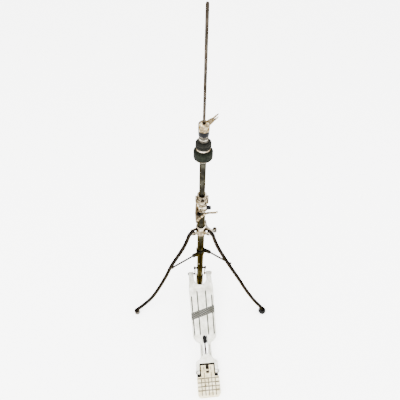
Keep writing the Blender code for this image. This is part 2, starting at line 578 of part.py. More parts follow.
def make_heel():
    """Heel plate, hinge pin and the rod that ties the heel plate to the column's foot."""
    front, back = -0.3285, -0.3840
    top = 0.0215
    corner = 0.0110
    outline = [(FORK_OUTER, front), (-FORK_OUTER, front)]
    outline += arc((-FORK_OUTER + corner, back + corner), corner, 180, 270, 5)
    outline += arc((FORK_OUTER - corner, back + corner), corner, 270, 360, 5)
    plate = add_node("heel_plate", prism(outline, 0, top), CAST_ALUMINIUM)
    tongue = 0.0213
    shape(plate, "UNION", block((-tongue, front - 0.0020, 0.0122), (tongue, -0.2956, top)),
          rod(0.0064, (-tongue + 0.0002, HINGE_Y, HINGE_Z), (tongue - 0.0002, HINGE_Y, HINGE_Z), 24))
    rim = 0.0045
    hollow = block((rim - FORK_OUTER, back + rim, -0.0100), (FORK_OUTER - rim, front - rim, 0.0160))
    shape(plate, "DIFFERENCE", hollow,
          rod(HINGE_PIN_R + GAP, (-0.05, HINGE_Y, HINGE_Z), (0.05, HINGE_Y, HINGE_Z), 20),
          prism(slot_outline((0, -0.3005), 0.0204, 0.0052), -0.01, 0.04))
    add_node("heel_base", block((-0.0345, front + GAP, 0.0003), (0.0345, -0.2835, 0.0028)), BLACK_RUBBER)
    reach = FORK_OUTER + 0.0006
    add_node("heel_pin", turned([
        (0, -reach - 0.0014), (0.0044, -reach - 0.0010), (0.0044, -reach), (HINGE_PIN_R, -reach),
        (HINGE_PIN_R, reach), (0.0044, reach), (0.0044, reach + 0.0010), (0, reach + 0.0014)],
        (0, HINGE_Y, HINGE_Z), (1, 0, 0), 20), BARE_STEEL)
    radius = 0.0028
    z = 0.0085
    route = [(0, -0.0263, z), (0, -0.1500, z), (0, -0.2880, z)]
    bend = [(0, -0.2940 - 0.0060 * math.sin(a), z + 0.0060 * (1 - math.cos(a))) for a in np.radians((0, 30, 60, 90))]
    add_node("radius_rod", tie_rod(radius, route + bend + [(0, -0.3000, 0.0200)]), BARE_STEEL)


def tie_rod(radius, path, sides=10):
    """Round bar along a path in the YZ plane."""
    path = np.array(path, float)
    slope = np.gradient(path, axis=0)
    slope /= np.linalg.norm(slope, axis=1)[:, None]
    points = []
    for centre, (_, run, rise) in zip(path, slope):
        for step in range(sides):
            angle = 2 * math.pi * step / sides
            across, up = radius * math.cos(angle), radius * math.sin(angle)
            points.append((centre[0] + across, centre[1] - rise * up, centre[2] + run * up))
    faces = [list(range(sides)), list(range(len(points) - sides, len(points)))]
    for step in range(len(path) - 1):
        base = step * sides
        faces += [[base + i, base + (i + 1) % sides, base + sides + (i + 1) % sides, base + sides + i]
                  for i in range(sides)]
    return mesh_from(points, faces)


clear_scene()
make_column()
make_height_clamp()
make_upper_tube()
make_clutch()
make_spider()
make_brace_collar()
for side, azimuth in LEG_AZIMUTHS.items():
    make_leg(side, azimuth)
    make_brace(side, azimuth)
make_pull_rod()
make_spring()
make_side_link("left", -1)
make_side_link("right", 1)
make_footboard()
make_heel()
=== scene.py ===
import json
import math

import bmesh
import bpy
import numpy as np
from mathutils import Euler, Matrix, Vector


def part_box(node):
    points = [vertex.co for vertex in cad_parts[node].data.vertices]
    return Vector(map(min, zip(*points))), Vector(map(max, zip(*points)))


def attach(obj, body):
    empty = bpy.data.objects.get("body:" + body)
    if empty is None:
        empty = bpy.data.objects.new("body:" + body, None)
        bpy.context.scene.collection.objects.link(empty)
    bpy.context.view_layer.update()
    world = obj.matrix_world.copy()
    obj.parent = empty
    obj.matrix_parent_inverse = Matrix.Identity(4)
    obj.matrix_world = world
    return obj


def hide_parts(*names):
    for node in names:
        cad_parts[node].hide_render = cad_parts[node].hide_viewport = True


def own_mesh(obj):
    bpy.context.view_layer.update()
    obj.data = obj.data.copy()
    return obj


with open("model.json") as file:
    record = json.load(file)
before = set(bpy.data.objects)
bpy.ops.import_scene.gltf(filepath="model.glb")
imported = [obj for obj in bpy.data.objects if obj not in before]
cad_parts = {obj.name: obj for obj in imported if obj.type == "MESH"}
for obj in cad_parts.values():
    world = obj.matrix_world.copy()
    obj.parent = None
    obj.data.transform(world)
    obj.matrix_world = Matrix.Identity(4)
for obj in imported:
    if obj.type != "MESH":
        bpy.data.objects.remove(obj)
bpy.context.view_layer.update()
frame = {"record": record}
joints = {joint["name"]: joint for joint in frame["record"]["behaviour"]["joints"]}

mm = 0.001


# small tools

def toLinear(hexColour):
    # sRGB hex to a linear RGBA colour.
    channels = [int(hexColour[i:i + 2], 16) / 255 for i in (0, 2, 4)]
    return tuple(c / 12.92 if c <= 0.04045 else ((c + 0.055) / 1.055) ** 2.4 for c in channels) + (1.0,)


def smoothStep(low, high, value):
    # 0 below low, 1 above high, eased between.
    t = np.clip((value - low) / (high - low), 0, 1)
    return t * t * (3 - 2 * t)


def waves(p, size, seed):
    # soft random-looking field from -1 to 1: a sum of sines across positions p, about size metres to a wave.
    rng = np.random.default_rng(seed)
    total = np.zeros(p.shape[:-1])
    for step in range(7):
        heading = rng.normal(size=3)
        heading *= rng.uniform(0.6, 1.8) * 2 * math.pi / size / np.linalg.norm(heading)
        total += np.sin(p @ heading + rng.uniform(0, 6.28))
    return total / 7 ** 0.5 / 1.4


def roundCorners(corners, radius, steps=3, closed=True):
    # polyline with each corner replaced by a quadratic curve that starts and ends radius from it.
    points = np.array(corners, float)
    count = len(points)
    t = np.linspace(0, 1, steps + 1)[:, None]
    rows = []
    for i in range(count):
        here = points[i]
        if not closed and i in (0, count - 1):
            rows.append(here[None])
            continue
        before, after = points[i - 1], points[(i + 1) % count]
        lengths = np.linalg.norm(before - here), np.linalg.norm(after - here)
        cut = min(radius, 0.45 * lengths[0], 0.45 * lengths[1])
        a = here + (before - here) * cut / lengths[0]
        b = here + (after - here) * cut / lengths[1]
        rows.append((1 - t) ** 2 * a + 2 * t * (1 - t) * here + t ** 2 * b)
    return np.vstack(rows)


def curveThrough(points, steps=8):
    # catmull-Rom curve through the points.
    knots = np.array(points, float)
    knots = np.vstack([2 * knots[0] - knots[1], knots, 2 * knots[-1] - knots[-2]])
    a, b, c, d = knots[:-3, None], knots[1:-2, None], knots[2:-1, None], knots[3:, None]
    t = np.linspace(0, 1, steps, endpoint=False)[None, :, None]
    bend = 2 * a - 5 * b + 4 * c - d
    curve = 0.5 * (2 * b + (c - a) * t + bend * t ** 2 + (3 * b - a - 3 * c + d) * t ** 3)
    return np.vstack([curve.reshape(-1, knots.shape[1]), knots[-2:-1]])


def turnedGrid(profile, sides=72):
    # profile of (radius, height) rows turned round Z: point = (r cos a, r sin a, h).
    r, h = np.array(profile, float).T
    a = np.linspace(0, 2 * math.pi, sides, endpoint=False)
    return np.stack([np.outer(r, np.cos(a)), np.outer(r, np.sin(a)), np.outer(h, np.ones(sides))], axis=2)


def carriedGrid(section, path, sideways):
    # section of (across, above) pairs carried along a path. across follows sideways, above is square to both.
    path = np.array(path, float)
    along = np.gradient(path, axis=0)
    along /= np.linalg.norm(along, axis=1)[:, None]
    across = np.cross(np.cross(along, sideways), along)
    across /= np.linalg.norm(across, axis=1)[:, None]
    above = np.cross(across, along)
    s = np.array(section, float)
    s = np.broadcast_to(s, (len(path),) + s.shape[-2:])
    return path[:, None] + s[..., :1] * across[:, None] + s[..., 1:] * above[:, None]


def circleSection(radius, sides=20):
    a = np.linspace(0, 2 * math.pi, sides, endpoint=False)
    return np.stack([radius * np.cos(a), radius * np.sin(a)], axis=1)


def pointed(grid, origin, direction):
    # turns a grid made round +Z so that +Z points along direction, and moves it to origin.
    z = np.array(direction, float)
    z /= np.linalg.norm(z)
    x = np.cross((0, 0, 1), z) if abs(z[2]) < 0.99 else np.array([1.0, 0, 0])
    x /= np.linalg.norm(x)
    return grid[..., :1] * x + grid[..., 1:2] * np.cross(z, x) + grid[..., 2:] * z + np.array(origin, float)


def gridMesh(name, grid, loop=False, angle=32):
    # mesh of a grid of points: rows run along the piece and columns close round it. loop joins the last row
    # to the first, or else each end gets a flat cap. Faces are turned outwards.
    rows, cols = grid.shape[:2]
    index = np.arange(rows * cols).reshape(rows, cols)
    after = np.roll(index, -1, axis=1)
    low, high = (index, np.roll(index, -1, axis=0)) if loop else (index[:-1], index[1:])
    lowAfter, highAfter = (after, np.roll(after, -1, axis=0)) if loop else (after[:-1], after[1:])
    quads = np.stack([low, lowAfter, highAfter, high], axis=2).reshape(-1, 4)
    faces = quads.tolist()
    if not loop:
        faces += [index[0].tolist(), index[-1].tolist()]
    mesh = bpy.data.meshes.new(name)
    mesh.from_pydata(grid.reshape(-1, 3).tolist(), [], faces)
    turnOut(mesh)
    mesh.shade_smooth()
    mesh.set_sharp_from_angle(angle=math.radians(angle))
    return mesh


def turnOut(mesh):
    work = bmesh.new()
    work.from_mesh(mesh)
    bmesh.ops.recalc_face_normals(work, faces=work.faces)
    work.to_mesh(mesh)
    work.free()


def joinMeshes(name, meshes):
    # one mesh of several closed bodies that sink into each other or stand apart.
    work = bmesh.new()
    for mesh in meshes:
        work.from_mesh(mesh)
    joined = bpy.data.meshes.new(name)
    work.to_mesh(joined)
    work.free()
    return joined


def addPiece(name, mesh, finish, body, slot, *nodes):
    # shows a mesh as a piece that rides on a body and stands for CAD nodes.
    piece = bpy.data.objects.new(name, mesh)
    bpy.context.collection.objects.link(piece)
    mesh.materials.clear()
    mesh.materials.append(finish)
    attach(piece, body)
    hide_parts(*nodes)
    return piece


def carve(mesh, operation, *tools):
    # mesh after Boolean cuts or unions with the tool meshes.
    work = bpy.data.objects.new("carveWork", mesh)
    bpy.context.collection.objects.link(work)
    helpers = []
    for tool in tools:
        helper = bpy.data.objects.new("carveTool", tool)
        bpy.context.collection.objects.link(helper)
        helpers.append(helper)
        change = work.modifiers.new("carve", "BOOLEAN")
        change.operation = operation
        change.solver = "EXACT"
        change.object = helper
    done = bpy.data.meshes.new_from_object(work.evaluated_get(bpy.context.evaluated_depsgraph_get()))
    for helper in helpers + [work]:
        bpy.data.objects.remove(helper, do_unlink=True)
    done.shade_smooth()
    done.set_sharp_from_angle(angle=math.radians(32))
    return done


def readPoints(mesh):
    points = np.empty(len(mesh.vertices) * 3)
    mesh.vertices.foreach_get("co", points)
    return points.reshape(-1, 3)


def setMask(mesh, name, values):
    # per-point number from 0 to 1 that a material reads by name.
    layer = mesh.attributes.new(name, "FLOAT", "POINT")
    layer.data.foreach_set("value", np.clip(values, 0, 1).astype(np.float32))


def boxOf(node):
    low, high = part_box(node)
    return np.array(low), np.array(high)


# materials

def newMaterial(name):
    material = bpy.data.materials.new(name)
    material.use_nodes = True
    tree = material.node_tree
    return material, tree, tree.nodes["Principled BSDF"]


def addNode(tree, kind, settings=None, links=None):
    # adds a node: settings are attributes or input values, links are input: output socket.
    node = tree.nodes.new("ShaderNode" + kind)
    for key, value in (settings or {}).items():
        if isinstance(key, int) or key in node.inputs:
            node.inputs[key].default_value = value
        else:
            setattr(node, key, value)
    for key, socket in (links or {}).items():
        tree.links.new(socket, node.inputs[key])
    return node


def addRamp(tree, factor, stops):
    # colour ramp with (place, hex colour) stops.
    ramp = addNode(tree, "ValToRGB", links={"Fac": factor})
    elements = ramp.color_ramp.elements
    while len(elements) < len(stops):
        elements.new(0.5)
    for element, (place, colour) in zip(elements, stops):
        element.position = place
        element.color = toLinear(colour)
    return ramp.outputs["Color"]


def metalFinish(name, values):
    # metal with broad clouds of colour, fine specks of pitting or dirt, an optional mask of dirt and painted
    # shade, and a small bump. On the chrome and nickel finishes the cloud colours are painted reflections.
    # cloudMm and speckMm are the real sizes of the clouds and specks.
    material, tree, shader = newMaterial(name)
    place = addNode(tree, "TexCoord").outputs["Object"]
    clouds = addNode(tree, "TexNoise",
                     {"Scale": 1 / (values["cloudMm"] * mm), "Detail": 5.0, "Roughness": 0.6},
                     {"Vector": place})
    specks = addNode(tree, "TexNoise",
                     {"Scale": 1 / (values["speckMm"] * mm), "Detail": 3.0, "Roughness": 0.7},
                     {"Vector": place})
    base = addRamp(tree, clouds.outputs["Fac"],
                   [(0.32, values["low"]), (0.52, values["middle"]), (0.70, values["high"])])
    speckMask = addNode(tree, "MapRange",
                        {"From Min": values["speckFrom"], "From Max": values["speckFrom"] + 0.08},
                        {"Value": specks.outputs["Fac"]})
    colour = addNode(tree, "Mix", {"data_type": "RGBA", "B": toLinear(values["speck"])},
                     {"Factor": speckMask.outputs["Result"], "A": base})
    last = colour.outputs["Result"]
    if values.get("mask"):
        grime = addNode(tree, "Attribute", {"attribute_name": values["mask"]})
        colour = addNode(tree, "Mix", {"data_type": "RGBA", "B": toLinear(values["grime"])},
                         {"Factor": grime.outputs["Fac"], "A": last})
        last = colour.outputs["Result"]
    tree.links.new(last, shader.inputs["Base Color"])
    rough = addNode(tree, "MapRange", {"From Min": 0.3, "From Max": 0.7, "To Min": values["rough"][0],
                                       "To Max": values["rough"][1]}, {"Value": clouds.outputs["Fac"]})
    tree.links.new(rough.outputs["Result"], shader.inputs["Roughness"])
    shader.inputs["Metallic"].default_value = values.get("metallic", 1.0)
    # the bright finishes give this a near-black tint, a painted dark reflection round their outlines
    shader.inputs["Specular Tint"].default_value = toLinear(values["edge"])  # shine seen at a low angle
    bump = addNode(tree, "Bump", {"Strength": values["bump"], "Distance": 0.3 * mm},
                   {"Height": specks.outputs["Fac"]})
    tree.links.new(bump.outputs["Normal"], shader.inputs["Normal"])
    return material


# nickel-chrome plate on drawn tube: near black with brown-grey clouds, a painted dark reflection of a dark
# room; reflections still sharp
tubePlate = metalFinish("aged_chrome_plated_tube", {
    "low": "0C0C0A", "middle": "191814", "high": "33322A", "speck": "080807", "cloudMm": 22, "speckMm": 1.6,
    "speckFrom": 0.62, "rough": (0.14, 0.26), "bump": 0.10, "edge": "BDB9B0"})
# pressed steel legs and straps with the plate gone dull: near black with browner clouds at random, a painted
# dark reflection of a dark room
legPlate = metalFinish("aged_plated_pressed_steel", {
    "low": "0E0C0A", "middle": "191613", "high": "322C25", "speck": "5A5349", "cloudMm": 16, "speckMm": 2.2,
    "speckFrom": 0.66, "rough": (0.24, 0.42), "bump": 0.14, "edge": "C4BFB5"})
# polished chrome: its colour swings in broad clouds from dark brown to near white, painted reflections, with
# fine dark specks; its near-black edge tint is a painted dark outline
brightPlate = metalFinish("polished_chrome_plate", {
    "low": "3A3224", "middle": "857A68", "high": "E2DAC8", "speck": "1C1812", "cloudMm": 16, "speckMm": 1.1,
    "speckFrom": 0.71, "rough": (0.08, 0.20), "bump": 0.05, "edge": "1C1914"})
# nickel plate worn thin on the parts that hands turn: warm, its colour swinging in small clouds from dark
# brown to pale cream as painted reflections; its near-black edge tint is a painted dark outline
nickelWithPaintedReflections = metalFinish("worn_nickel_plate", {
    "low": "2A2216", "middle": "6E6049", "high": "D2C6AA", "speck": "1A150D", "cloudMm": 8, "speckMm": 1.1,
    "speckFrom": 0.66, "rough": (0.10, 0.24), "bump": 0.08, "edge": "14110C"})
# turned chrome lock nuts: a mask darkens a band round the middle of each knurled side to near black, dirt and
# painted shade
knurledPlate = metalFinish("knurled_chrome_plate", {
    "low": "6E665A", "middle": "B4AC9C", "high": "F0EBDF", "speck": "1C1812", "cloudMm": 9, "speckMm": 1.1,
    "speckFrom": 0.70, "rough": (0.10, 0.22), "bump": 0.05, "edge": "2A2622", "mask": "grime",
                                                    "grime": "0A0806"})
# sand-cast aluminium, tumbled bright, with brown-green dirt in its recesses; a near-black mask darkens its
# grooves with dirt and painted shade, and its edges with painted shade
castBoard = metalFinish("tumbled_cast_aluminium", {
    "low": "B4B2A3", "middle": "D2D0C4", "high": "E6E5DC", "speck": "8A8876", "cloudMm": 18, "speckMm": 0.8,
    "speckFrom": 0.66, "rough": (0.34, 0.50), "bump": 0.22, "mask": "grime", "grime": "0E0D09",
                                                   "metallic": 0.85, "edge": "B4B2A8"})
# the heel plate is the same casting, yellowed where the heel rests; its grooves are darkened with dirt and
# painted shade
castHeel = metalFinish("tumbled_cast_aluminium_yellowed", {
    "low": "B7A981", "middle": "D6CBAA", "high": "E8E0C8", "speck": "8F8260", "cloudMm": 14, "speckMm": 0.9,
    "speckFrom": 0.66, "rough": (0.36, 0.52), "bump": 0.22, "mask": "grime", "grime": "1A1308",
                                                           "metallic": 0.8, "edge": "B4B2A8"})
# cast zinc clamp whose plate has browned
brownCasting = metalFinish("browned_zinc_casting", {
    "low": "231D15", "middle": "453C2F", "high": "7E7362", "speck": "120F0B", "cloudMm": 12, "speckMm": 1.4,
    "speckFrom": 0.63, "rough": (0.28, 0.45), "bump": 0.25, "edge": "B0AAA0"})
# bare cold-drawn steel, near black with brown clouds: thin brown oxide, and a painted dark reflection
rodSteel = metalFinish("drawn_steel_with_oxide", {
    "low": "15120E", "middle": "29241E", "high": "4B443B", "speck": "0C0A07", "cloudMm": 20, "speckMm": 1.2,
    "speckFrom": 0.64, "rough": (0.18, 0.34), "bump": 0.10, "edge": "B8B2A8"})
# brass-washed pin
brassWash = metalFinish("brass_washed_steel", {
    "low": "4A3A12", "middle": "7A6224", "high": "B0964A", "speck": "1A150A", "cloudMm": 6, "speckMm": 0.8,
    "speckFrom": 0.62, "rough": (0.22, 0.40), "bump": 0.12, "edge": "4A3A12"})


def softFinish(name, values):
    # rubber, felt or nylon: two-tone mottling, fine grain and bump at the given sizes in millimetres.
    material, tree, shader = newMaterial(name)
    place = addNode(tree, "TexCoord").outputs["Object"]
    mottle = addNode(tree, "TexNoise",
                     {"Scale": 1 / (values["mottleMm"] * mm), "Detail": 4.0, "Roughness": 0.65},
                     {"Vector": place})
    grain = addNode(tree, "TexNoise",
                    {"Scale": 1 / (values["grainMm"] * mm), "Detail": 5.0, "Roughness": 0.75},
                    {"Vector": place})
    stops = [(0.30, values["low"]), (0.55, values["middle"]), (0.75, values["high"])]
    base = addRamp(tree, mottle.outputs["Fac"], stops)
    grainMask = addNode(tree, "MapRange", {"From Min": 0.55, "From Max": 0.75, "To Max": values["dust"]},
                        {"Value": grain.outputs["Fac"]})
    colour = addNode(tree, "Mix", {"data_type": "RGBA", "B": toLinear(values["grain"])},
                     {"Factor": grainMask.outputs["Result"], "A": base})
    tree.links.new(colour.outputs["Result"], shader.inputs["Base Color"])
    rough = addNode(tree, "MapRange", {"From Min": 0.3, "From Max": 0.7, "To Min": values["rough"][0],
                                       "To Max": values["rough"][1]}, {"Value": mottle.outputs["Fac"]})
    tree.links.new(rough.outputs["Result"], shader.inputs["Roughness"])
    shader.inputs["Specular IOR Level"].default_value = values.get("shine", 0.06)
    shader.inputs["IOR"].default_value = values.get("ior", 1.5)
    bump = addNode(tree, "Bump", {"Strength": values["bump"], "Distance": 0.5 * mm},
                   {"Height": grain.outputs["Fac"]})
    tree.links.new(bump.outputs["Normal"], shader.inputs["Normal"])
    return material


# moulded natural rubber, dusty grey on top
blackRubber = softFinish("moulded_black_rubber", {
    "low": "060606", "middle": "0B0B0A", "high": "141412", "grain": "26251F", "dust": 0.35, "mottleMm": 7,
    "grainMm": 1.2, "rough": (0.55, 0.80), "bump": 0.20, "ior": 1.52})
# rubber worn through to a brown-grey stub
wornTip = softFinish("worn_rubber_and_steel_tip", {
    "low": "1C1813", "middle": "342E25", "high": "5A5245", "grain": "7A7264", "dust": 0.4, "mottleMm": 5,
    "grainMm": 1.0, "rough": (0.50, 0.75), "bump": 0.30})
# pressed wool felt, fibres about 0.5 mm drawn coarser so they show
darkFelt = softFinish("pressed_wool_felt_dark_grey", {
    "low": "0B0B0A", "middle": "151512", "high": "24231E", "grain": "3C3A30", "dust": 0.5, "mottleMm": 6,
    "grainMm": 0.8, "rough": (0.85, 0.98), "bump": 0.55})
# thick felt seat, oily black with grey-green lint
seatPad = softFinish("pressed_wool_felt_black", {
    "low": "060705", "middle": "0E110B", "high": "1E2219", "grain": "363C2D", "dust": 0.5, "mottleMm": 5,
    "grainMm": 1.1, "rough": (0.75, 0.95), "bump": 0.60})
# moulded nylon with a low shine
blackNylon = softFinish("moulded_black_nylon", {
    "low": "060607", "middle": "0A0A0C", "high": "101013", "grain": "1A1A1E", "dust": 0.25, "mottleMm": 5,
    "grainMm": 0.9, "rough": (0.28, 0.42), "bump": 0.08, "shine": 0.05})
print("materials made")


# shapes used by several pieces

def offsetOutline(outline, distance):
    # closed outline moved outwards (or inwards when negative) along its normals.
    outline = np.array(outline, float)
    along = np.roll(outline, -1, axis=0) - np.roll(outline, 1, axis=0)
    along /= np.linalg.norm(along, axis=1)[:, None] + 1e-12
    x, y = outline[:, 0], outline[:, 1]
    turnsLeft = np.sum(x * np.roll(y, -1) - y * np.roll(x, -1)) > 0
    normal = np.stack([along[:, 1], -along[:, 0]], axis=1) * (1 if turnsLeft else -1)
    return outline + distance * normal


def plateGrid(outline, low, high, bevel):
    # flat plate with rounded edges: the outline at each height, drawn in by a quarter circle at the edges.
    bend = np.radians((0, 30, 60, 90))
    insets = np.concatenate([bevel * (1 - np.sin(bend)), bevel * (1 - np.sin(bend[::-1]))])
    heights = np.concatenate([low + bevel * (1 - np.cos(bend)), high - bevel * (1 - np.cos(bend[::-1]))])
    rows = [np.column_stack([offsetOutline(outline, -inset), np.full(len(outline), height)])
            for inset, height in zip(insets, heights)]
    return np.stack(rows)


def cutterGrid(outline, low, high, flare):
    # tool that cuts a straight-sided hole and breaks its upper and lower edges by flare.
    steps = ((low - 0.01, flare), (low, flare), (low + flare, 0), (high - flare, 0), (high, flare),
             (high + 0.01, flare))
    rows = [np.column_stack([offsetOutline(outline, out), np.full(len(outline), height)]) for height,
            out in steps]
    return np.stack(rows)


def slotOutline(centre, halfLength, halfWidth, steps=10):
    # round-ended slot along Y.
    a = np.linspace(0, math.pi, steps)
    arc = np.stack([halfWidth * np.cos(a), halfWidth * np.sin(a)], axis=1)
    upper = arc + (centre[0], centre[1] + halfLength - halfWidth)
    lower = -arc + (centre[0], centre[1] - halfLength + halfWidth)
    return np.vstack([upper, lower])


def inPlane(grid, origin, first, second):
    # places a grid made in X, Y, Z: X along first, Y along second, Z square to both.
    first, second = np.array(first, float), np.array(second, float)
    third = np.cross(first, second)
    return grid[..., :1] * first + grid[..., 1:2] * second + grid[..., 2:] * third + np.array(origin, float)


def pipeProfile(outer, inner, low, high, edge):
    # section of a round piece with a hole, its outer edges broken by edge.
    ring = [(inner, low), (outer, low), (outer, high), (inner, high)]
    return roundCorners(ring, edge)


def turnedPiece(name, profile, finish, body, slot, node, origin=(0, 0, 0), direction=(0, 0, 1), sides=72,
                hollow=True):
    # round piece from a closed section (hollow) or a section from pole to pole.
    grid = pointed(turnedGrid(profile, sides), origin, direction)
    return addPiece(name, gridMesh(name, grid, loop=hollow), finish, body, slot, node)


def solidProfile(corners, radius, steps=3):
    # section of a solid round piece, from the axis out and back, with its corners rounded.
    points = roundCorners([(1e-5, corners[0][1])] + list(corners) + [(1e-5, corners[-1][1])], radius, steps,
                          False)
    return points


def fineRing(values, node, finish, body, slot):
    # ring that fills its CAD node's box, with rounded outer edges.
    low, high = boxOf(node)
    outer = (high[1] - low[1]) / 2
    return turnedPiece(values["name"], pipeProfile(outer, values["bore"], low[2], high[2], values["edge"]),
                       finish, body, slot, node)


# column

tubes = {"lowerWall": 1.6 * mm, "upperWall": 1.25 * mm, "edge": 0.5 * mm, "slotPlay": 0.8 * mm,
         "screwRadius": 2.1 * mm}


def makeLowerTube():
    low, high = boxOf("lower_tube")
    barLow, barHigh = boxOf("cross_bar")
    travel = joints["pull_rod_drop"]["range_m"][1]
    outer = high[0]
    mesh = gridMesh("lowerTube",
                    turnedGrid(pipeProfile(outer, outer - tubes["lowerWall"], low[2], high[2],
                                           tubes["edge"])),
                    loop=True)
    barRadius = 3.5 * mm
    barMiddle = (barLow[2] + barHigh[2]) / 2
    slotLow, slotHigh = barMiddle - travel - barRadius - 2.0 * mm, barMiddle + barRadius + 3.0 * mm
    outline = slotOutline((0, (slotLow + slotHigh) / 2), (slotHigh - slotLow) / 2,
                          barRadius + tubes["slotPlay"])
    tool = gridMesh("slotTool",
                    inPlane(cutterGrid(outline, -20 * mm, 20 * mm, 0.1 * mm), (0, 0, 0), (0, 1, 0),
                            (0, 0, 1)))
    mesh = carve(mesh, "DIFFERENCE", tool)
    addPiece("lowerTube", mesh, tubePlate, "root", "dark_chrome_tube", "lower_tube")
    screws = []
    for turn, height in ((-119, 0.1765), (-119, 0.134)):  # small guide screws low on the tube
        out = (math.cos(math.radians(turn)), math.sin(math.radians(turn)), 0)
        dome = [(tubes["screwRadius"], -1.0 * mm), (tubes["screwRadius"], 0.4 * mm), (0.8 * mm, 1.1 * mm)]
        place = np.array(out) * outer + (0, 0, height)
        screws.append(gridMesh("screw", pointed(turnedGrid(solidProfile(dome, 0.5 * mm), 24), place, out)))
    addPiece("tubeScrews", joinMeshes("tubeScrews", screws), brightPlate, "root", "bright_chrome")


def makeFoot():
    high = boxOf("base_socket")[1]
    outer = high[0]
    bore = outer - 1.7 * mm
    profile = roundCorners([(1e-4, 12.3 * mm), (outer, 12.3 * mm), (outer, high[2]), (bore, high[2]),
                            (bore, 30 * mm), (1e-4, 30 * mm)], 0.9 * mm)
    cup = gridMesh("socketCup", turnedGrid(profile), loop=True)
    lug = plateGrid(roundCorners([(-6.5 * mm, -25.9 * mm), (6.5 * mm, -25.9 * mm), (5.5 * mm, -8 * mm),
                                  (-5.5 * mm, -8 * mm)],
                                 2.5 * mm, 5), 3.6 * mm, 15.9 * mm, 1.2 * mm)
    band = gridMesh("socketBand",
                    turnedGrid(pipeProfile(outer, bore, high[2] - 7 * mm, high[2] - 4 * mm, 0.5 * mm)),
                    loop=True)
    mesh = joinMeshes("footSocket", [cup, gridMesh("socketLug", lug), band])
    addPiece("footSocket", mesh, tubePlate, "root", "dark_chrome_tube", "base_socket")
    high = boxOf("base_rubber")[1]
    rubber = solidProfile([(9.5 * mm, 0), (11.8 * mm, 2.2 * mm), (high[0], 6 * mm), (high[0], high[2])],
                          1.4 * mm, 5)
    turnedPiece("footRubber", rubber, blackRubber, "root", "black_rubber", "base_rubber", hollow=False)


def makeSpring():
    # coil: point = (R cos a, R sin a, pitch a / 2 pi), with closed ends.
    values = {"turns": 7, "coil": 7.2 * mm, "wire": 1.0 * mm}
    low, high = boxOf("spring")
    t = np.linspace(0, 1, values["turns"] * 36)
    a = 2 * math.pi * values["turns"] * t
    height = low[2] + values["wire"] + t * (high[2] - low[2] - 2 * values["wire"])
    path = np.stack([values["coil"] * np.cos(a), values["coil"] * np.sin(a), height], axis=1)
    mesh = gridMesh("springCoil", carriedGrid(circleSection(values["wire"], 10), path, (0, 0, 1)))
    coil = addPiece("springCoil", mesh, rodSteel, "root", "bare_steel", "spring")
    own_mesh(coil)
    seat = {"name": "springSeat", "bore": 4.0 * mm, "edge": 0.4 * mm}
    fineRing(seat, "spring_seat", rodSteel, "root", "bare_steel")


clamp = {"ringEdge": 1.6 * mm, "rodRadius": 3.0 * mm, "flutes": 10}


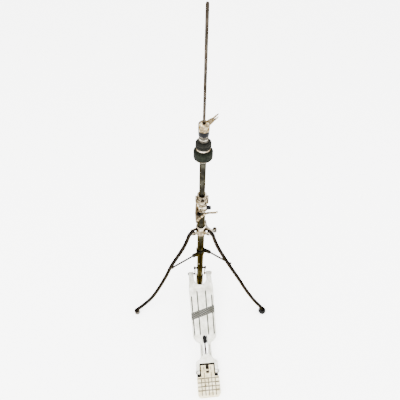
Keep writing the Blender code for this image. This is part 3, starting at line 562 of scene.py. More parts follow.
def makeClamp():
    low, high = boxOf("clamp_body")
    lower = boxOf("lower_tube")[1]
    upper = boxOf("upper_tube")[1]
    bore, grip = lower[0] + 0.3 * mm, upper[0] + 0.3 * mm
    outer = 15.0 * mm
    top, base, lip = high[2] - 6.5 * mm, high[2] - 53.0 * mm, high[2] - 11.3 * mm
    ring = roundCorners([(bore, base), (outer, base), (outer, top), (grip, top), (grip, lip), (bore, lip)],
                        clamp["ringEdge"], 4)
    beads = [gridMesh("bead",
                      turnedGrid(pipeProfile(outer + 0.9 * mm, outer - 2 * mm, z, z + 3 * mm, 1.0 * mm)),
                      loop=True)
             for z in (top - 4.0 * mm, top - 18 * mm, base + 1.0 * mm)]
    shapes = [gridMesh("ring", turnedGrid(ring), loop=True)] + beads
    # rounded pads stand off the ring: one on each side and a lug in front for the knob's screw
    pads = [((13.0, 17.7), 4.4, (498.2, 527.4)), ((-17.7, -13.0), 4.4, (505.2, 527.9))]
    for (start, end), half, (bottom, head) in pads:
        outline = roundCorners([(-half * mm, bottom * mm), (half * mm, bottom * mm), (half * mm, head * mm),
                                (-half * mm, head * mm)], 3.4 * mm, 5)
        grid = plateGrid(outline, 0, (end - start) * mm, 1.1 * mm)
        shapes.append(gridMesh("pad", inPlane(grid, (start * mm, 0, 0), (0, 1, 0), (0, 0, 1))))
    outline = roundCorners([(-10.4 * mm, 490.6 * mm), (10.7 * mm, 490.6 * mm), (10.7 * mm, 504.4 * mm),
                            (-10.4 * mm, 504.4 * mm)], 2.6 * mm, 5)
    shapes.append(gridMesh("lug",
                           inPlane(plateGrid(outline, 11.0 * mm, 20.4 * mm, 1.4 * mm), (0, 0, 0), (1, 0, 0),
                                   (0, 0, 1))))
    addPiece("clampRing", joinMeshes("clampRing", shapes), brightPlate, "root", "bright_chrome", "clamp_body")
    bolt = solidProfile([(3.6 * mm, 19 * mm), (3.6 * mm, 20.2 * mm), (2.2 * mm, 20.5 * mm)], 0.3 * mm)
    boltMesh = gridMesh("bolt", pointed(turnedGrid(bolt, 32), (-5.0 * mm, 0, 497.5 * mm), (0, -1, 0)))
    addPiece("clampBolt", boltMesh, tubePlate, "root", "bright_chrome")
    # spine: a long rounded bar on the tube's left, fullest two thirds down
    t = np.linspace(0, 1, 60)
    path = np.stack([np.full(60, -13.4 * mm), np.zeros(60), low[2] + 0.6 * mm + t * 112.8 * mm], axis=1)
    swell = np.sin(math.pi * np.clip(t, 0.001, 0.999)) ** 0.30 * (1.0 - 0.30 * smoothStep(0.45, 1.0, t))
    a = np.linspace(0, 2 * math.pi, 32, endpoint=False)
    section = np.stack([np.cos(a) * 8.2 * mm, np.sin(a) * 4.7 * mm], axis=1)[None] * swell[:, None, None]
    spine = gridMesh("spine", carriedGrid(section, path, (0, 1, 0)), angle=60)
    pivot = np.array(joints["clamp_lever_turn"]["pos_m"])
    boss = solidProfile([(5.8 * mm, -26 * mm), (5.8 * mm, -4.1 * mm), (3.3 * mm, -4.1 * mm),
                         (3.3 * mm, -9.6 * mm)], 0.7 * mm)
    bossMesh = gridMesh("boss", pointed(turnedGrid(boss, 40), pivot, (0, -1, 0)))
    addPiece("clampSpine", joinMeshes("clampSpine", [spine, bossMesh]), brownCasting, "root", "bright_chrome")
    # fluted knob: radius eases in and out round the grip
    knob = np.array(joints["clamp_knob_turn"]["pos_m"])
    profile = solidProfile([(3.0 * mm, -5 * mm), (3.0 * mm, 0.1 * mm), (5.7 * mm, 0.1 * mm),
                            (5.8 * mm, 9.6 * mm), (4.4 * mm, 11.9 * mm)], 1.2 * mm, 5)
    grid = turnedGrid(profile, 80)
    a = np.linspace(0, 2 * math.pi, 80, endpoint=False)
    reach = np.hypot(grid[..., 0], grid[..., 1])
    dent = 1 - 0.07 * smoothStep(3 * mm, 5.4 * mm, reach) * (1 - np.cos(clamp["flutes"] * a))[None] / 2
    grid[..., :2] *= dent[..., None]
    mesh = gridMesh("clampKnob", pointed(grid, knob, (1, 0, 0)), angle=50)
    addPiece("clampKnob", mesh, blackNylon, "clamp_knob", "black_nylon", "clamp_knob")


def makeLever():
    # bent rod: hub on its screw, straight run up to a bend, straight run out, and a turned-up end
    pivot = np.array(joints["clamp_lever_turn"]["pos_m"])
    steps = np.array([(0.5, 0.6), (10, 11.5), (20.5, 24.3), (26.0, 27.6), (33, 27.9), (40, 27.6),
                      (48.6, 27.6), (51.0, 28.8), (52.4, 31.2)]) * mm
    curve = curveThrough(steps, 8)
    path = np.stack([pivot[0] + curve[:, 0], np.full(len(curve), pivot[1]), pivot[2] + curve[:, 1]], axis=1)
    t = np.linspace(0, 1, len(path))
    girth = 1 - 0.9 * smoothStep(0.985, 1.0, t) ** 2 + 0.12 * (1 - smoothStep(0, 0.12, t))
    section = circleSection(clamp["rodRadius"], 24)[None] * girth[:, None, None]
    rodMesh = gridMesh("leverRod", carriedGrid(section, path, (0, 1, 0)), angle=60)
    hub = solidProfile([(3.4 * mm, -4.4 * mm), (5.2 * mm, -1.9 * mm), (5.2 * mm, 3.4 * mm),
                        (3.0 * mm, 3.4 * mm), (3.0 * mm, 8.8 * mm)], 1.0 * mm)
    hubMesh = gridMesh("leverHub", pointed(turnedGrid(hub, 40), pivot, (0, 1, 0)))
    addPiece("clampLever", joinMeshes("clampLever", [rodMesh, hubMesh]), nickelWithPaintedReflections, "clamp_lever",
             "bright_chrome", "clamp_lever")


def makeUpperTube():
    low, high = boxOf("upper_tube")
    outer = high[0]
    profile = pipeProfile(outer, outer - tubes["upperWall"], low[2], high[2], tubes["edge"])
    turnedPiece("upperTube", profile, tubePlate, "upper_tube", "dark_chrome_tube", "upper_tube")
    bush = boxOf("tube_bush")
    flange = bush[1][0]
    profile = roundCorners([(outer + 0.1 * mm, bush[0][2]), (outer + 1.0 * mm, bush[0][2]),
                            (outer + 1.0 * mm, bush[1][2] - 2 * mm),
                            (flange, bush[1][2] - 2 * mm), (flange, bush[1][2]),
                            (outer + 0.1 * mm, bush[1][2])], 0.4 * mm)
    turnedPiece("tubeBush", profile, blackNylon, "root", "black_nylon", "tube_bush")
    # memory collar: ring with a waist, and a boss for its key bolt
    low, high = boxOf("memory_collar")
    middle = (low[2] + high[2]) / 2
    bolt = boxOf("memory_bolt")
    height = (bolt[0][2] + bolt[1][2]) / 2
    grip, wide = outer + 0.3 * mm, 12.9 * mm
    ring = [(grip, low[2] + 0.2 * mm), (wide, low[2] + 0.2 * mm), (wide, middle - 1.2 * mm),
            (wide - 1.0 * mm, middle - 0.4 * mm),
            (wide - 1.0 * mm, middle + 0.6 * mm), (wide, middle + 1.4 * mm), (wide, high[2] - 0.2 * mm),
            (grip, high[2] - 0.2 * mm)]
    boss = roundCorners([(3.3 * mm, 9 * mm), (5.7 * mm, 9 * mm), (5.7 * mm, 15.9 * mm),
                         (3.3 * mm, 15.9 * mm)], 0.9 * mm)
    shapes = [gridMesh("collarRing", turnedGrid(roundCorners(ring, 0.6 * mm)), loop=True),
              gridMesh("collarBoss", pointed(turnedGrid(boss, 40), (0, 0, height), (0, -1, 0)), loop=True)]
    addPiece("memoryCollar", joinMeshes("memoryCollar", shapes), brightPlate, "upper_tube", "bright_chrome",
             "memory_collar")
    head = roundCorners([(-4.0 * mm, -4.0 * mm), (4.0 * mm, -4.0 * mm), (4.0 * mm, 4.0 * mm),
                         (-4.0 * mm, 4.0 * mm)], 0.7 * mm)
    headMesh = gridMesh("boltHead",
                        inPlane(plateGrid(head, 16.6 * mm, 19.8 * mm, 0.6 * mm), (0, 0, height), (1, 0, 0),
                                (0, 0, 1)))
    shank = solidProfile([(3.0 * mm, 10 * mm), (3.0 * mm, 17 * mm)], 0.3 * mm)
    shankMesh = gridMesh("boltShank", pointed(turnedGrid(shank, 32), (0, 0, height), (0, -1, 0)))
    addPiece("memoryBolt", joinMeshes("memoryBolt", [headMesh, shankMesh]), rodSteel, "upper_tube",
             "bare_steel", "memory_bolt")


def roughenGrid(grid, axisXY, amount, size, seed):
    # pushes points in and out from the Z axis and up and down by a soft field, as on a felt's cut edge.
    push = waves(grid, size, seed) * amount
    reach = np.hypot(grid[..., 0] - axisXY[0], grid[..., 1] - axisXY[1])[..., None] + 1e-6
    away = np.concatenate([(grid[..., :2] - axisXY) / reach, np.zeros_like(reach)], axis=-1)
    out = grid + away * push[..., None]
    out[..., 2] += waves(grid, size * 1.3, seed + 1) * amount * 0.4
    return out


def makeFelt(name, node, bore, edge, finish, body, seed, slot="grey_felt", rough=0.35 * mm):
    low, high = boxOf(node)
    outer = (high[1] - low[1]) / 2 - rough
    corners = [(bore, low[2] + rough), (outer, low[2] + rough), (outer, high[2] - rough),
               (bore, high[2] - rough)]
    profile = roundCorners(corners, edge, 5)
    fine = np.vstack([np.linspace(a, b, 6, endpoint=False) for a,
                      b in zip(profile, np.roll(profile, -1, axis=0))])
    grid = roughenGrid(turnedGrid(fine, 120), (0, 0), rough * 0.7, 4 * mm, seed)
    addPiece(name, gridMesh(name, grid, loop=True, angle=80), finish, body, slot, node)


def makeSeat():
    rod = boxOf("pull_rod")[1][0]
    tube = boxOf("upper_tube")[1][0]
    fineRing({"name": "seatRing", "bore": tube + 0.3 * mm, "edge": 1.5 * mm}, "seat_ring", tubePlate,
             "upper_tube", "dark_chrome_tube")
    low, high = boxOf("seat_washer")
    cup = roundCorners([(9.2 * mm, low[2]), (12.5 * mm, low[2]), (21.8 * mm, low[2] + 1.2 * mm),
                        (high[0], high[2]), (9.2 * mm, high[2])], 0.5 * mm)
    turnedPiece("seatWasher", cup, brightPlate, "upper_tube", "bright_chrome", "seat_washer")
    makeFelt("seatFelt", "seat_felt", 9.2 * mm, 3.2 * mm, seatPad, "upper_tube", 11)
    low, high = boxOf("rod_bush")
    inner = rod + 0.1 * mm
    bush = roundCorners([(inner, low[2]), (tube - 1.6 * mm, low[2]), (tube - 1.6 * mm, high[2] - 2.2 * mm),
                         (high[0], high[2] - 2.2 * mm), (high[0], high[2]), (inner, high[2])], 0.3 * mm)
    turnedPiece("rodBush", bush, blackNylon, "upper_tube", "black_nylon", "rod_bush")


# clutch

clutchNut = {"knurls": 42, "knurlDepth": 0.45 * mm}


def knurledRing(name, node, bore, body):
    # lock nut: the rim's radius dips between knurls, and a groove runs round its middle.
    low, high = boxOf(node)
    outer = high[0]
    middle = (low[2] + high[2]) / 2
    side = np.linspace(low[2] + 2.0 * mm, high[2] - 2.0 * mm, 9)
    corners = [(bore, low[2]), (outer - 1.6 * mm, low[2]), (outer, low[2] + 1.4 * mm)]
    corners += [(outer, z) for z in side] + [(outer, high[2] - 1.4 * mm), (outer - 1.6 * mm, high[2]),
                                             (bore, high[2])]
    sides = clutchNut["knurls"] * 8
    grid = turnedGrid(corners, sides)
    a = np.linspace(0, 2 * math.pi, sides, endpoint=False)
    reach = np.hypot(grid[..., 0], grid[..., 1])
    rim = smoothStep(outer - 0.9 * mm, outer - 0.1 * mm, reach)
    ridge = (0.5 - 0.5 * np.cos(clutchNut["knurls"] * a)) ** 0.7
    dip = rim * (1 - ridge)[None] * clutchNut["knurlDepth"]
    dip += rim * np.exp(-((grid[..., 2] - middle) / (0.55 * mm)) ** 2) * 0.7 * mm
    grid[..., :2] *= (1 - dip / reach)[..., None]
    mesh = gridMesh(name, grid, loop=True, angle=30)
    # dark mask: the middle band of the knurled side, dirt and painted shade; the chamfered rims stay bright
    points = readPoints(mesh)
    onRim = smoothStep(outer - 1.2 * mm, outer - 0.7 * mm, np.hypot(points[:, 0], points[:, 1]))
    onRim *= 1 - smoothStep(0.30, 0.48, np.abs(points[:, 2] - middle) / (high[2] - low[2]))
    setMask(mesh, "grime", 0.9 * onRim)
    addPiece(name, mesh, knurledPlate, body, "bright_chrome", node)


def makeClutch():
    rod = boxOf("pull_rod")[1][0]
    bore = rod + 0.1 * mm
    low, high = boxOf("clutch_sleeve")
    sleeve = high[0]
    thread = sleeve + 0.3 * mm
    turns = 60  # thread turns, four points to each
    z = np.linspace(low[2], high[2], turns * 4 + 1)
    ridges = sleeve - 0.25 * mm + 0.25 * mm * np.cos(np.arange(len(z)) * math.pi / 2)
    profile = np.vstack([[(bore, low[2])], np.stack([ridges, z], axis=1), [(bore, high[2])]])
    turnedPiece("clutchSleeve", profile, rodSteel, "clutch", "bare_steel", "clutch_sleeve", sides=40)
    low, high = boxOf("clutch_cup")
    cup = roundCorners([(thread, low[2]), (11.0 * mm, low[2]), (11.6 * mm, low[2] + 2.5 * mm),
                        (16.4 * mm, low[2] + 3.8 * mm),
                        (high[0], low[2] + 5.0 * mm), (high[0], high[2]), (thread, high[2])], 0.7 * mm, 4)
    turnedPiece("clutchCup", cup, brightPlate, "clutch", "bright_chrome", "clutch_cup")
    makeFelt("clutchFeltLower", "clutch_felt_lower", thread, 2.6 * mm, darkFelt, "clutch", 21)
    makeFelt("clutchFeltUpper", "clutch_felt_upper", thread, 2.6 * mm, darkFelt, "clutch", 31)
    knurledRing("lockNutLower", "lock_nut_lower", thread, "lock_nut_low")
    knurledRing("lockNutUpper", "lock_nut_upper", thread, "lock_nut_up")
    fineRing({"name": "clutchBand", "bore": thread, "edge": 0.8 * mm}, "clutch_band", blackNylon, "clutch",
             "black_nylon")
    # body: turned barrel with a groove, and a boss for the wing screw
    low, high = boxOf("clutch_body")
    outer = 12.3 * mm
    barrel = [(bore, low[2]), (outer, low[2]), (outer, low[2] + 4 * mm),
              (outer - 0.8 * mm, low[2] + 4.6 * mm),
              (outer - 0.8 * mm, low[2] + 5.8 * mm), (outer, low[2] + 6.4 * mm), (outer, high[2] - 4.0 * mm),
              (outer - 3.5 * mm, high[2] - 0.6 * mm), (bore + 2.6 * mm, high[2]), (bore, high[2] - 1.0 * mm)]
    shapes = [gridMesh("barrel", turnedGrid(roundCorners(barrel, 0.7 * mm)), loop=True)]
    wing = np.array(joints["clutch_wing_turn"]["pos_m"])
    out = np.array(joints["clutch_wing_turn"]["axis"])
    lift = np.array([0, 0, wing[2]])
    boss = roundCorners([(3.4 * mm, 7 * mm), (6.0 * mm, 7 * mm), (6.0 * mm, 17.4 * mm),
                         (3.4 * mm, 17.4 * mm)], 1.0 * mm, 4)
    shapes.append(gridMesh("boss", pointed(turnedGrid(boss, 40), lift, out), loop=True))
    addPiece("clutchBody", joinMeshes("clutchBody", shapes), nickelWithPaintedReflections, "clutch", "bright_chrome",
             "clutch_body")
    makeWing("clutchWing", lift, out, nickelWithPaintedReflections)


def makeWing(name, origin, out, finish):
    # wing screw: turned hub and shank, and two blades that thin out and lean apart towards their tips.
    hub = solidProfile([(3.0 * mm, 12.6 * mm), (3.0 * mm, 18.0 * mm), (5.6 * mm, 18.0 * mm),
                        (6.1 * mm, 20 * mm), (4.6 * mm, 30 * mm)], 1.0 * mm, 4)
    shapes = [gridMesh("hub", pointed(turnedGrid(hub, 40), origin, out))]
    for side in (-1, 1):
        line = curveThrough(np.array([(20.5, 1.8), (28, 2.8), (36, 3.6), (44, 4.0), (51, 3.6)]) * mm, 10)
        path = origin + line[:, :1] * out + line[:, 1:] * side * np.array([0, 0, 1])
        t = np.linspace(0, 1, len(path))
        width = 2.9 * mm * np.sqrt(np.clip(1 - ((t - 0.45) / 0.56) ** 2, 0.01, 1))
        thick = (1.5 - 0.7 * t) * mm * np.clip((1 - t) * 8, 0.15, 1)
        a = np.linspace(0, 2 * math.pi, 24, endpoint=False)
        section = np.stack([np.outer(thick, np.cos(a)), np.outer(width, np.sin(a))], axis=2)
        sideways = np.cross(out, (0, 0, 1))
        shapes.append(gridMesh("blade", carriedGrid(section, path, sideways), angle=60))
    addPiece(name, joinMeshes(name, shapes), finish, "clutch_wing", "bright_chrome", "clutch_wing_screw")


# pull rod and side links

def makePullRod():
    low, high = boxOf("pull_rod")
    radius = high[0]
    tip = [(radius, low[2]), (radius, high[2] - 2.2 * mm), (radius * 0.62, high[2])]
    turnedPiece("pullRod", solidProfile(tip, 1.6 * mm, 6), rodSteel, "pull_rod", "bare_steel", "pull_rod",
                sides=40, hollow=False)
    fineRing({"name": "rodCoupler", "bore": radius + 0.3 * mm, "edge": 0.9 * mm}, "rod_coupler", rodSteel,
             "pull_rod", "bare_steel")
    low, high = boxOf("lower_rod")
    straight = solidProfile([(radius, low[2]), (radius, high[2])], 0.5 * mm)
    turnedPiece("lowerRod", straight, rodSteel, "pull_rod", "bare_steel", "lower_rod", sides=40, hollow=False)
    low, high = boxOf("yoke_block")
    block = solidProfile([(high[1], low[2]), (high[1], high[2])], 1.2 * mm)
    turnedPiece("yokeBlock", block, rodSteel, "pull_rod", "bare_steel", "yoke_block", sides=48, hollow=False)
    low, high = boxOf("cross_bar")
    middle = (low[2] + high[2]) / 2
    reach, seat = high[0], high[0] - 3.0 * mm
    bar = solidProfile([(3.4 * mm, -reach), (5.6 * mm, -seat - 1.2 * mm), (5.6 * mm, -seat),
                        (3.5 * mm, -seat),
                        (3.5 * mm, seat), (5.6 * mm, seat), (5.6 * mm, seat + 1.2 * mm), (3.4 * mm, reach)],
                       0.7 * mm)
    turnedPiece("crossBar", bar, rodSteel, "pull_rod", "bare_steel", "cross_bar", (0, 0, middle), (1, 0, 0),
                40, False)


def makeLink(side, sign, finish):
    # pressed strap with an eye at each end, drawn in between them.
    low, high = boxOf(f"link_{side}")
    barZ = joints[f"link_{side}_swing"]["pos_m"][2]
    toeZ = low[2] + 6.9 * mm
    half = (barZ - toeZ) / 2
    y = np.linspace(0, math.pi, 14)
    top = np.stack([6.2 * mm * np.cos(y), barZ + 6.2 * mm * np.sin(y)], axis=1)
    bottom = np.stack([-6.9 * mm * np.cos(y), toeZ - 6.9 * mm * np.sin(y)], axis=1)
    waist = np.linspace(0.18, 0.82, 9)
    pull = 4.7 * mm + 1.4 * mm * np.abs(2 * waist - 1) ** 3
    left = np.stack([-pull, barZ - 2 * half * waist], axis=1)
    right = np.stack([pull, barZ - 2 * half * waist], axis=1)[::-1]
    outline = np.vstack([top, left, bottom, right])
    thick = high[0] - low[0]
    start = low[0] if sign > 0 else high[0]
    grid = plateGrid(outline, 0, thick, 0.5 * mm)
    place = inPlane(grid * (1, 1, sign), (start, 0, 0), (0, 1, 0), (0, 0, 1))
    mesh = gridMesh("link", place)
    holes = []
    for height, radius in ((barZ, 3.6 * mm), (toeZ, 4.3 * mm)):
        hole = solidProfile([(radius, -10 * mm), (radius, 10 * mm)], 0.01 * mm, 1)
        holes.append(gridMesh("hole", pointed(turnedGrid(hole, 40), (start, 0, height), (1, 0, 0))))
    addPiece(f"link{side.title()}", carve(mesh, "DIFFERENCE", *holes), finish, f"link_{side}", "bare_steel",
             f"link_{side}")


# tripod

leg = {"width": 11.0 * mm, "depth": 6.2 * mm, "wall": 1.5 * mm, "pinRadius": 2.5 * mm,
       # middle line: (r, z) from the leg's pivot, then the last points on the floor's height
       "shoulder": ((-6.5, 0), (4.5, -0.3), (13.5, -9.0), (20.0, -30.0)),
       "straight": ((64.0, 304.0), (105.0, 233.0)),
       "shanks": {"left": ((130, 176), (165, 108), (196, 63), (229, 38), (252, 25), (256, 9.2)),
                  "right": ((144, 172), (179, 113), (212, 67), (238, 39.5), (252.5, 26.5), (256, 9.2)),
                  "rear": ((144, 172), (179, 113), (212, 67), (238, 39.5), (252.5, 26.5), (256, 9.2))}}
brace = {"thick": 3.0 * mm, "tall": 8.0 * mm, "rivet": 2.5 * mm}


def radialAxes(joint):
    # outward and sideways directions of a leg or brace from its hinge's axis.
    across = np.array(joints[joint]["axis"])
    return np.array([across[1], -across[0], 0]), across


def makeLeg(side):
    pivot = np.array(joints[f"leg_{side}_fold"]["pos_m"])
    out, across = radialAxes(f"leg_{side}_fold")
    reach = math.hypot(pivot[0], pivot[1])
    shoulder = np.array(leg["shoulder"]) * mm + (reach, pivot[2])
    line = curveThrough(np.vstack([shoulder, np.array(leg["straight"] + leg["shanks"][side]) * mm]), 12)
    path = line[:, :1] * out + line[:, 1:] * np.array([0, 0, 1])
    half, deep, wall = leg["width"] / 2, leg["depth"] / 2, leg["wall"]
    channel = [(-half, -deep), (-half, deep), (half, deep), (half, -deep), (half - wall, -deep),
               (half - wall, deep - wall), (wall - half, deep - wall), (wall - half, -deep)]
    section = roundCorners(channel, 1.3 * mm, 4)
    mesh = gridMesh("channel", carriedGrid(section, path, across), angle=50)
    hole = solidProfile([(leg["pinRadius"] + 0.1 * mm, -12 * mm), (leg["pinRadius"] + 0.1 * mm, 12 * mm)],
                        0.01 * mm, 1)
    mesh = carve(mesh, "DIFFERENCE", gridMesh("hole", pointed(turnedGrid(hole, 32), pivot, across)))
    addPiece(f"leg{side.title()}", mesh, legPlate, f"leg_{side}", "dark_chrome_strip", f"leg_{side}")
    low, high = boxOf(f"foot_{side}")
    centre = (low + high) / 2
    girth = (high[1] - low[1]) / 2
    top = high[2]
    if side != "right":  # worn to a stub
        profile = [(1e-4, 0), (girth - 1.2 * mm, 0), (girth, 3 * mm), (girth - 0.5 * mm, 9 * mm),
                   (8.9 * mm, top), (7.6 * mm, top), (7.6 * mm, 6 * mm), (1e-4, 6 * mm)]
        finish = wornTip
    else:
        profile = [(1e-4, 0), (girth - 3.0 * mm, 0), (girth, 3.6 * mm), (girth, 9.6 * mm),
                   (girth - 2.3 * mm, 15.6 * mm),
                   (9.6 * mm, 17.6 * mm), (9.4 * mm, top), (7.6 * mm, top), (7.6 * mm, 6 * mm),
                   (1e-4, 6 * mm)]
        finish = blackRubber
    grid = turnedGrid(roundCorners(profile, 2.2 * mm, 5), 64) + (centre[0], centre[1], 0)
    addPiece(f"foot{side.title()}", gridMesh("foot", grid, loop=True, angle=60), finish, f"leg_{side}",
             "black_rubber", f"foot_{side}")


def earOutline(pivot, root, drop, rise):
    # ear from the collar out round its pin.
    a = np.radians(np.linspace(-70, 80, 14))
    nose = np.stack([pivot[0] + 6.2 * mm * np.cos(a), pivot[1] + 6.2 * mm * np.sin(a)], axis=1)
    return np.vstack([[(root, pivot[1] - drop)], nose, [(root, pivot[1] + rise)]])


def earMeshes(joint, offset, width):
    # two ears beside the gap that holds a leg or brace.
    pivot = np.array(joints[joint]["pos_m"])
    out, across = radialAxes(joint)
    flat = (math.hypot(pivot[0], pivot[1]), pivot[2])
    outline = earOutline(flat, 12.4 * mm if offset == 0 else 9.5 * mm, 7.2 * mm, 5.5 * mm)
    meshes = []
    for side in (-1, 1):
        start = offset + side * (width / 2 + 0.5 * mm) - (2.4 * mm if side < 0 else 0)
        grid = plateGrid(outline, 0, 2.4 * mm, 0.6 * mm)
        placed = grid[..., :1] * out + grid[..., 1:2] * np.array([0, 0, 1]) + (start + grid[..., 2:]) * across
        meshes.append(gridMesh("ear", placed))
    return meshes


def pinMesh(joint, low, high, radius, head):
    # pin with a domed head at each end, along the hinge's axis.
    pivot = np.array(joints[joint]["pos_m"])
    across = radialAxes(joint)[1]
    shape = [(head * 0.7, low), (head, low + 1.2 * mm), (radius, low + 1.2 * mm), (radius, high - 1.2 * mm),
             (head, high - 1.2 * mm), (head * 0.7, high)]
    return gridMesh("pin", pointed(turnedGrid(solidProfile(shape, 0.5 * mm), 32), pivot, across))


def makeCollars():
    tube = boxOf("lower_tube")[1][0]
    sides = ("left", "right", "rear")
    low, high = boxOf("leg_spider")
    ring = roundCorners([(tube + 0.3 * mm, low[2]), (13.6 * mm, low[2]), (15.2 * mm, low[2] + 2.0 * mm),
                         (15.2 * mm, high[2] - 4.0 * mm), (14.0 * mm, high[2] - 0.2 * mm),
                         (tube + 0.3 * mm, high[2] - 0.2 * mm)],
                        1.2 * mm, 4)
    shapes = [gridMesh("ring", turnedGrid(ring), loop=True)]
    for side in sides:
        shapes += earMeshes(f"leg_{side}_fold", 0.0, leg["width"])
        reach = leg["width"] / 2 + 4.6 * mm
        pin = pinMesh(f"leg_{side}_fold", -reach, reach, leg["pinRadius"], 4.2 * mm)
        addPiece(f"legPin{side.title()}", pin, rodSteel, "root", "bare_steel", f"leg_pin_{side}")
    addPiece("legCollar", joinMeshes("legCollar", shapes), brightPlate, "root", "bright_chrome", "leg_spider")
    low, high = boxOf("brace_collar")
    ring = pipeProfile(14.5 * mm, tube + 0.2 * mm, low[2], high[2], 1.2 * mm)
    shapes = [gridMesh("ring", turnedGrid(ring), loop=True)]
    offset = leg["width"] / 2 + 0.5 * mm + brace["thick"] / 2
    for side in sides:
        shapes += earMeshes(f"brace_{side}_fold", offset, brace["thick"])
        reach = brace["thick"] / 2 + 4.6 * mm
        pin = pinMesh(f"brace_{side}_fold", offset - reach, offset + reach, brace["rivet"], 4.2 * mm)
        addPiece(f"bracePin{side.title()}", pin, rodSteel, "brace_collar", "bare_steel", f"brace_pin_{side}")
        makeBrace(side, offset)
    addPiece("braceCollar", joinMeshes("braceCollar", shapes), tubePlate, "brace_collar", "dark_chrome_tube",
             "brace_collar")


def makeBrace(side, offset):
    # flat strap with round ends, and the rivet at its outer end.
    pivot = np.array(joints[f"brace_{side}_fold"]["pos_m"])
    out, across = radialAxes(f"brace_{side}_fold")
    start = np.array([math.hypot(pivot[0], pivot[1]), pivot[2]])
    end = np.array(leg["straight"][1]) * mm
    run = end - start
    length = np.linalg.norm(run)
    run /= length
    a = np.linspace(math.pi / 2, 3 * math.pi / 2, 14)
    tip = np.stack([brace["tall"] / 2 * np.cos(a), brace["tall"] / 2 * np.sin(a)], axis=1)
    outline = np.vstack([tip, (length, 0) - tip])
    grid = plateGrid(outline, -brace["thick"] / 2, brace["thick"] / 2, 0.5 * mm)
    along = run[0] * out + run[1] * np.array([0, 0, 1])
    above = -run[1] * out + run[0] * np.array([0, 0, 1])
    placed = pivot + grid[..., :1] * along + grid[..., 1:2] * above + (offset + grid[..., 2:]) * across
    mesh = gridMesh("strap", placed)
    holes = []
    for centre, radius in ((pivot, brace["rivet"] + 0.1 * mm),
                           (pivot + length * along, brace["rivet"] + 0.3 * mm)):
        hole = solidProfile([(radius, 0), (radius, 16 * mm)], 0.01 * mm, 1)
        holes.append(gridMesh("hole", pointed(turnedGrid(hole, 32), centre, across)))
    addPiece(f"brace{side.title()}", carve(mesh, "DIFFERENCE", *holes), legPlate, f"brace_{side}",
             "dark_chrome_strip", f"brace_{side}")
    inner, outer = leg["width"] / 2 + 0.3 * mm, offset + brace["thick"] / 2 + 0.3 * mm
    rivet = solidProfile([(brace["rivet"], inner), (brace["rivet"], outer), (4.4 * mm, outer),
                          (3.6 * mm, outer + 1.5 * mm)], 0.5 * mm)
    mesh = gridMesh("rivet", pointed(turnedGrid(rivet, 32), pivot + length * along, across))
    addPiece(f"braceRivet{side.title()}", mesh, rodSteel, f"brace_{side}", "bare_steel",
             f"brace_rivet_{side}")


# pedal

hinge = np.array(joints["footboard_press"]["pos_m"])
toe = np.array([0, 0, (boxOf("toe_pin_left")[0][2] + boxOf("toe_pin_left")[1][2]) / 2])
boardReach = np.linalg.norm(toe - hinge)
boardAlong = (toe - hinge) / boardReach
boardUp = np.cross((1, 0, 0), boardAlong)
board = {"half": 3.0 * mm, "armInner": 23.5 * mm, "armOuter": 41.5 * mm, "forkInner": 25.0 * mm,
         "forkOuter": 35.8 * mm,
         "groove": 2.9 * mm, "grooveAt": 15.5 * mm, "borderAt": 37.0 * mm,
         "slot": (80 * mm, 29 * mm, 7.5 * mm)}


def boardHalfWidth(s):
    # half the board's width at distance s from the heel hinge: fork, neck, shoulders, body, yoke.
    places = np.array([0, 28, 32, 37.5, 45, 84, 91, 100, 110, 260, 274, 290, 340]) * mm
    widths = np.array([35.8, 35.8, 33, 21.5, 18.5, 18.5, 29, 37.5, 39.8, 44, 44, 41.5, 41.5]) * mm
    return np.interp(s, places, widths)


def groove(value, centre, width):
    # 1 in the middle of a groove, 0 outside it, with sloping walls.
    return 1 - smoothStep(width * 0.45, width * 1.0, np.abs(value - centre))


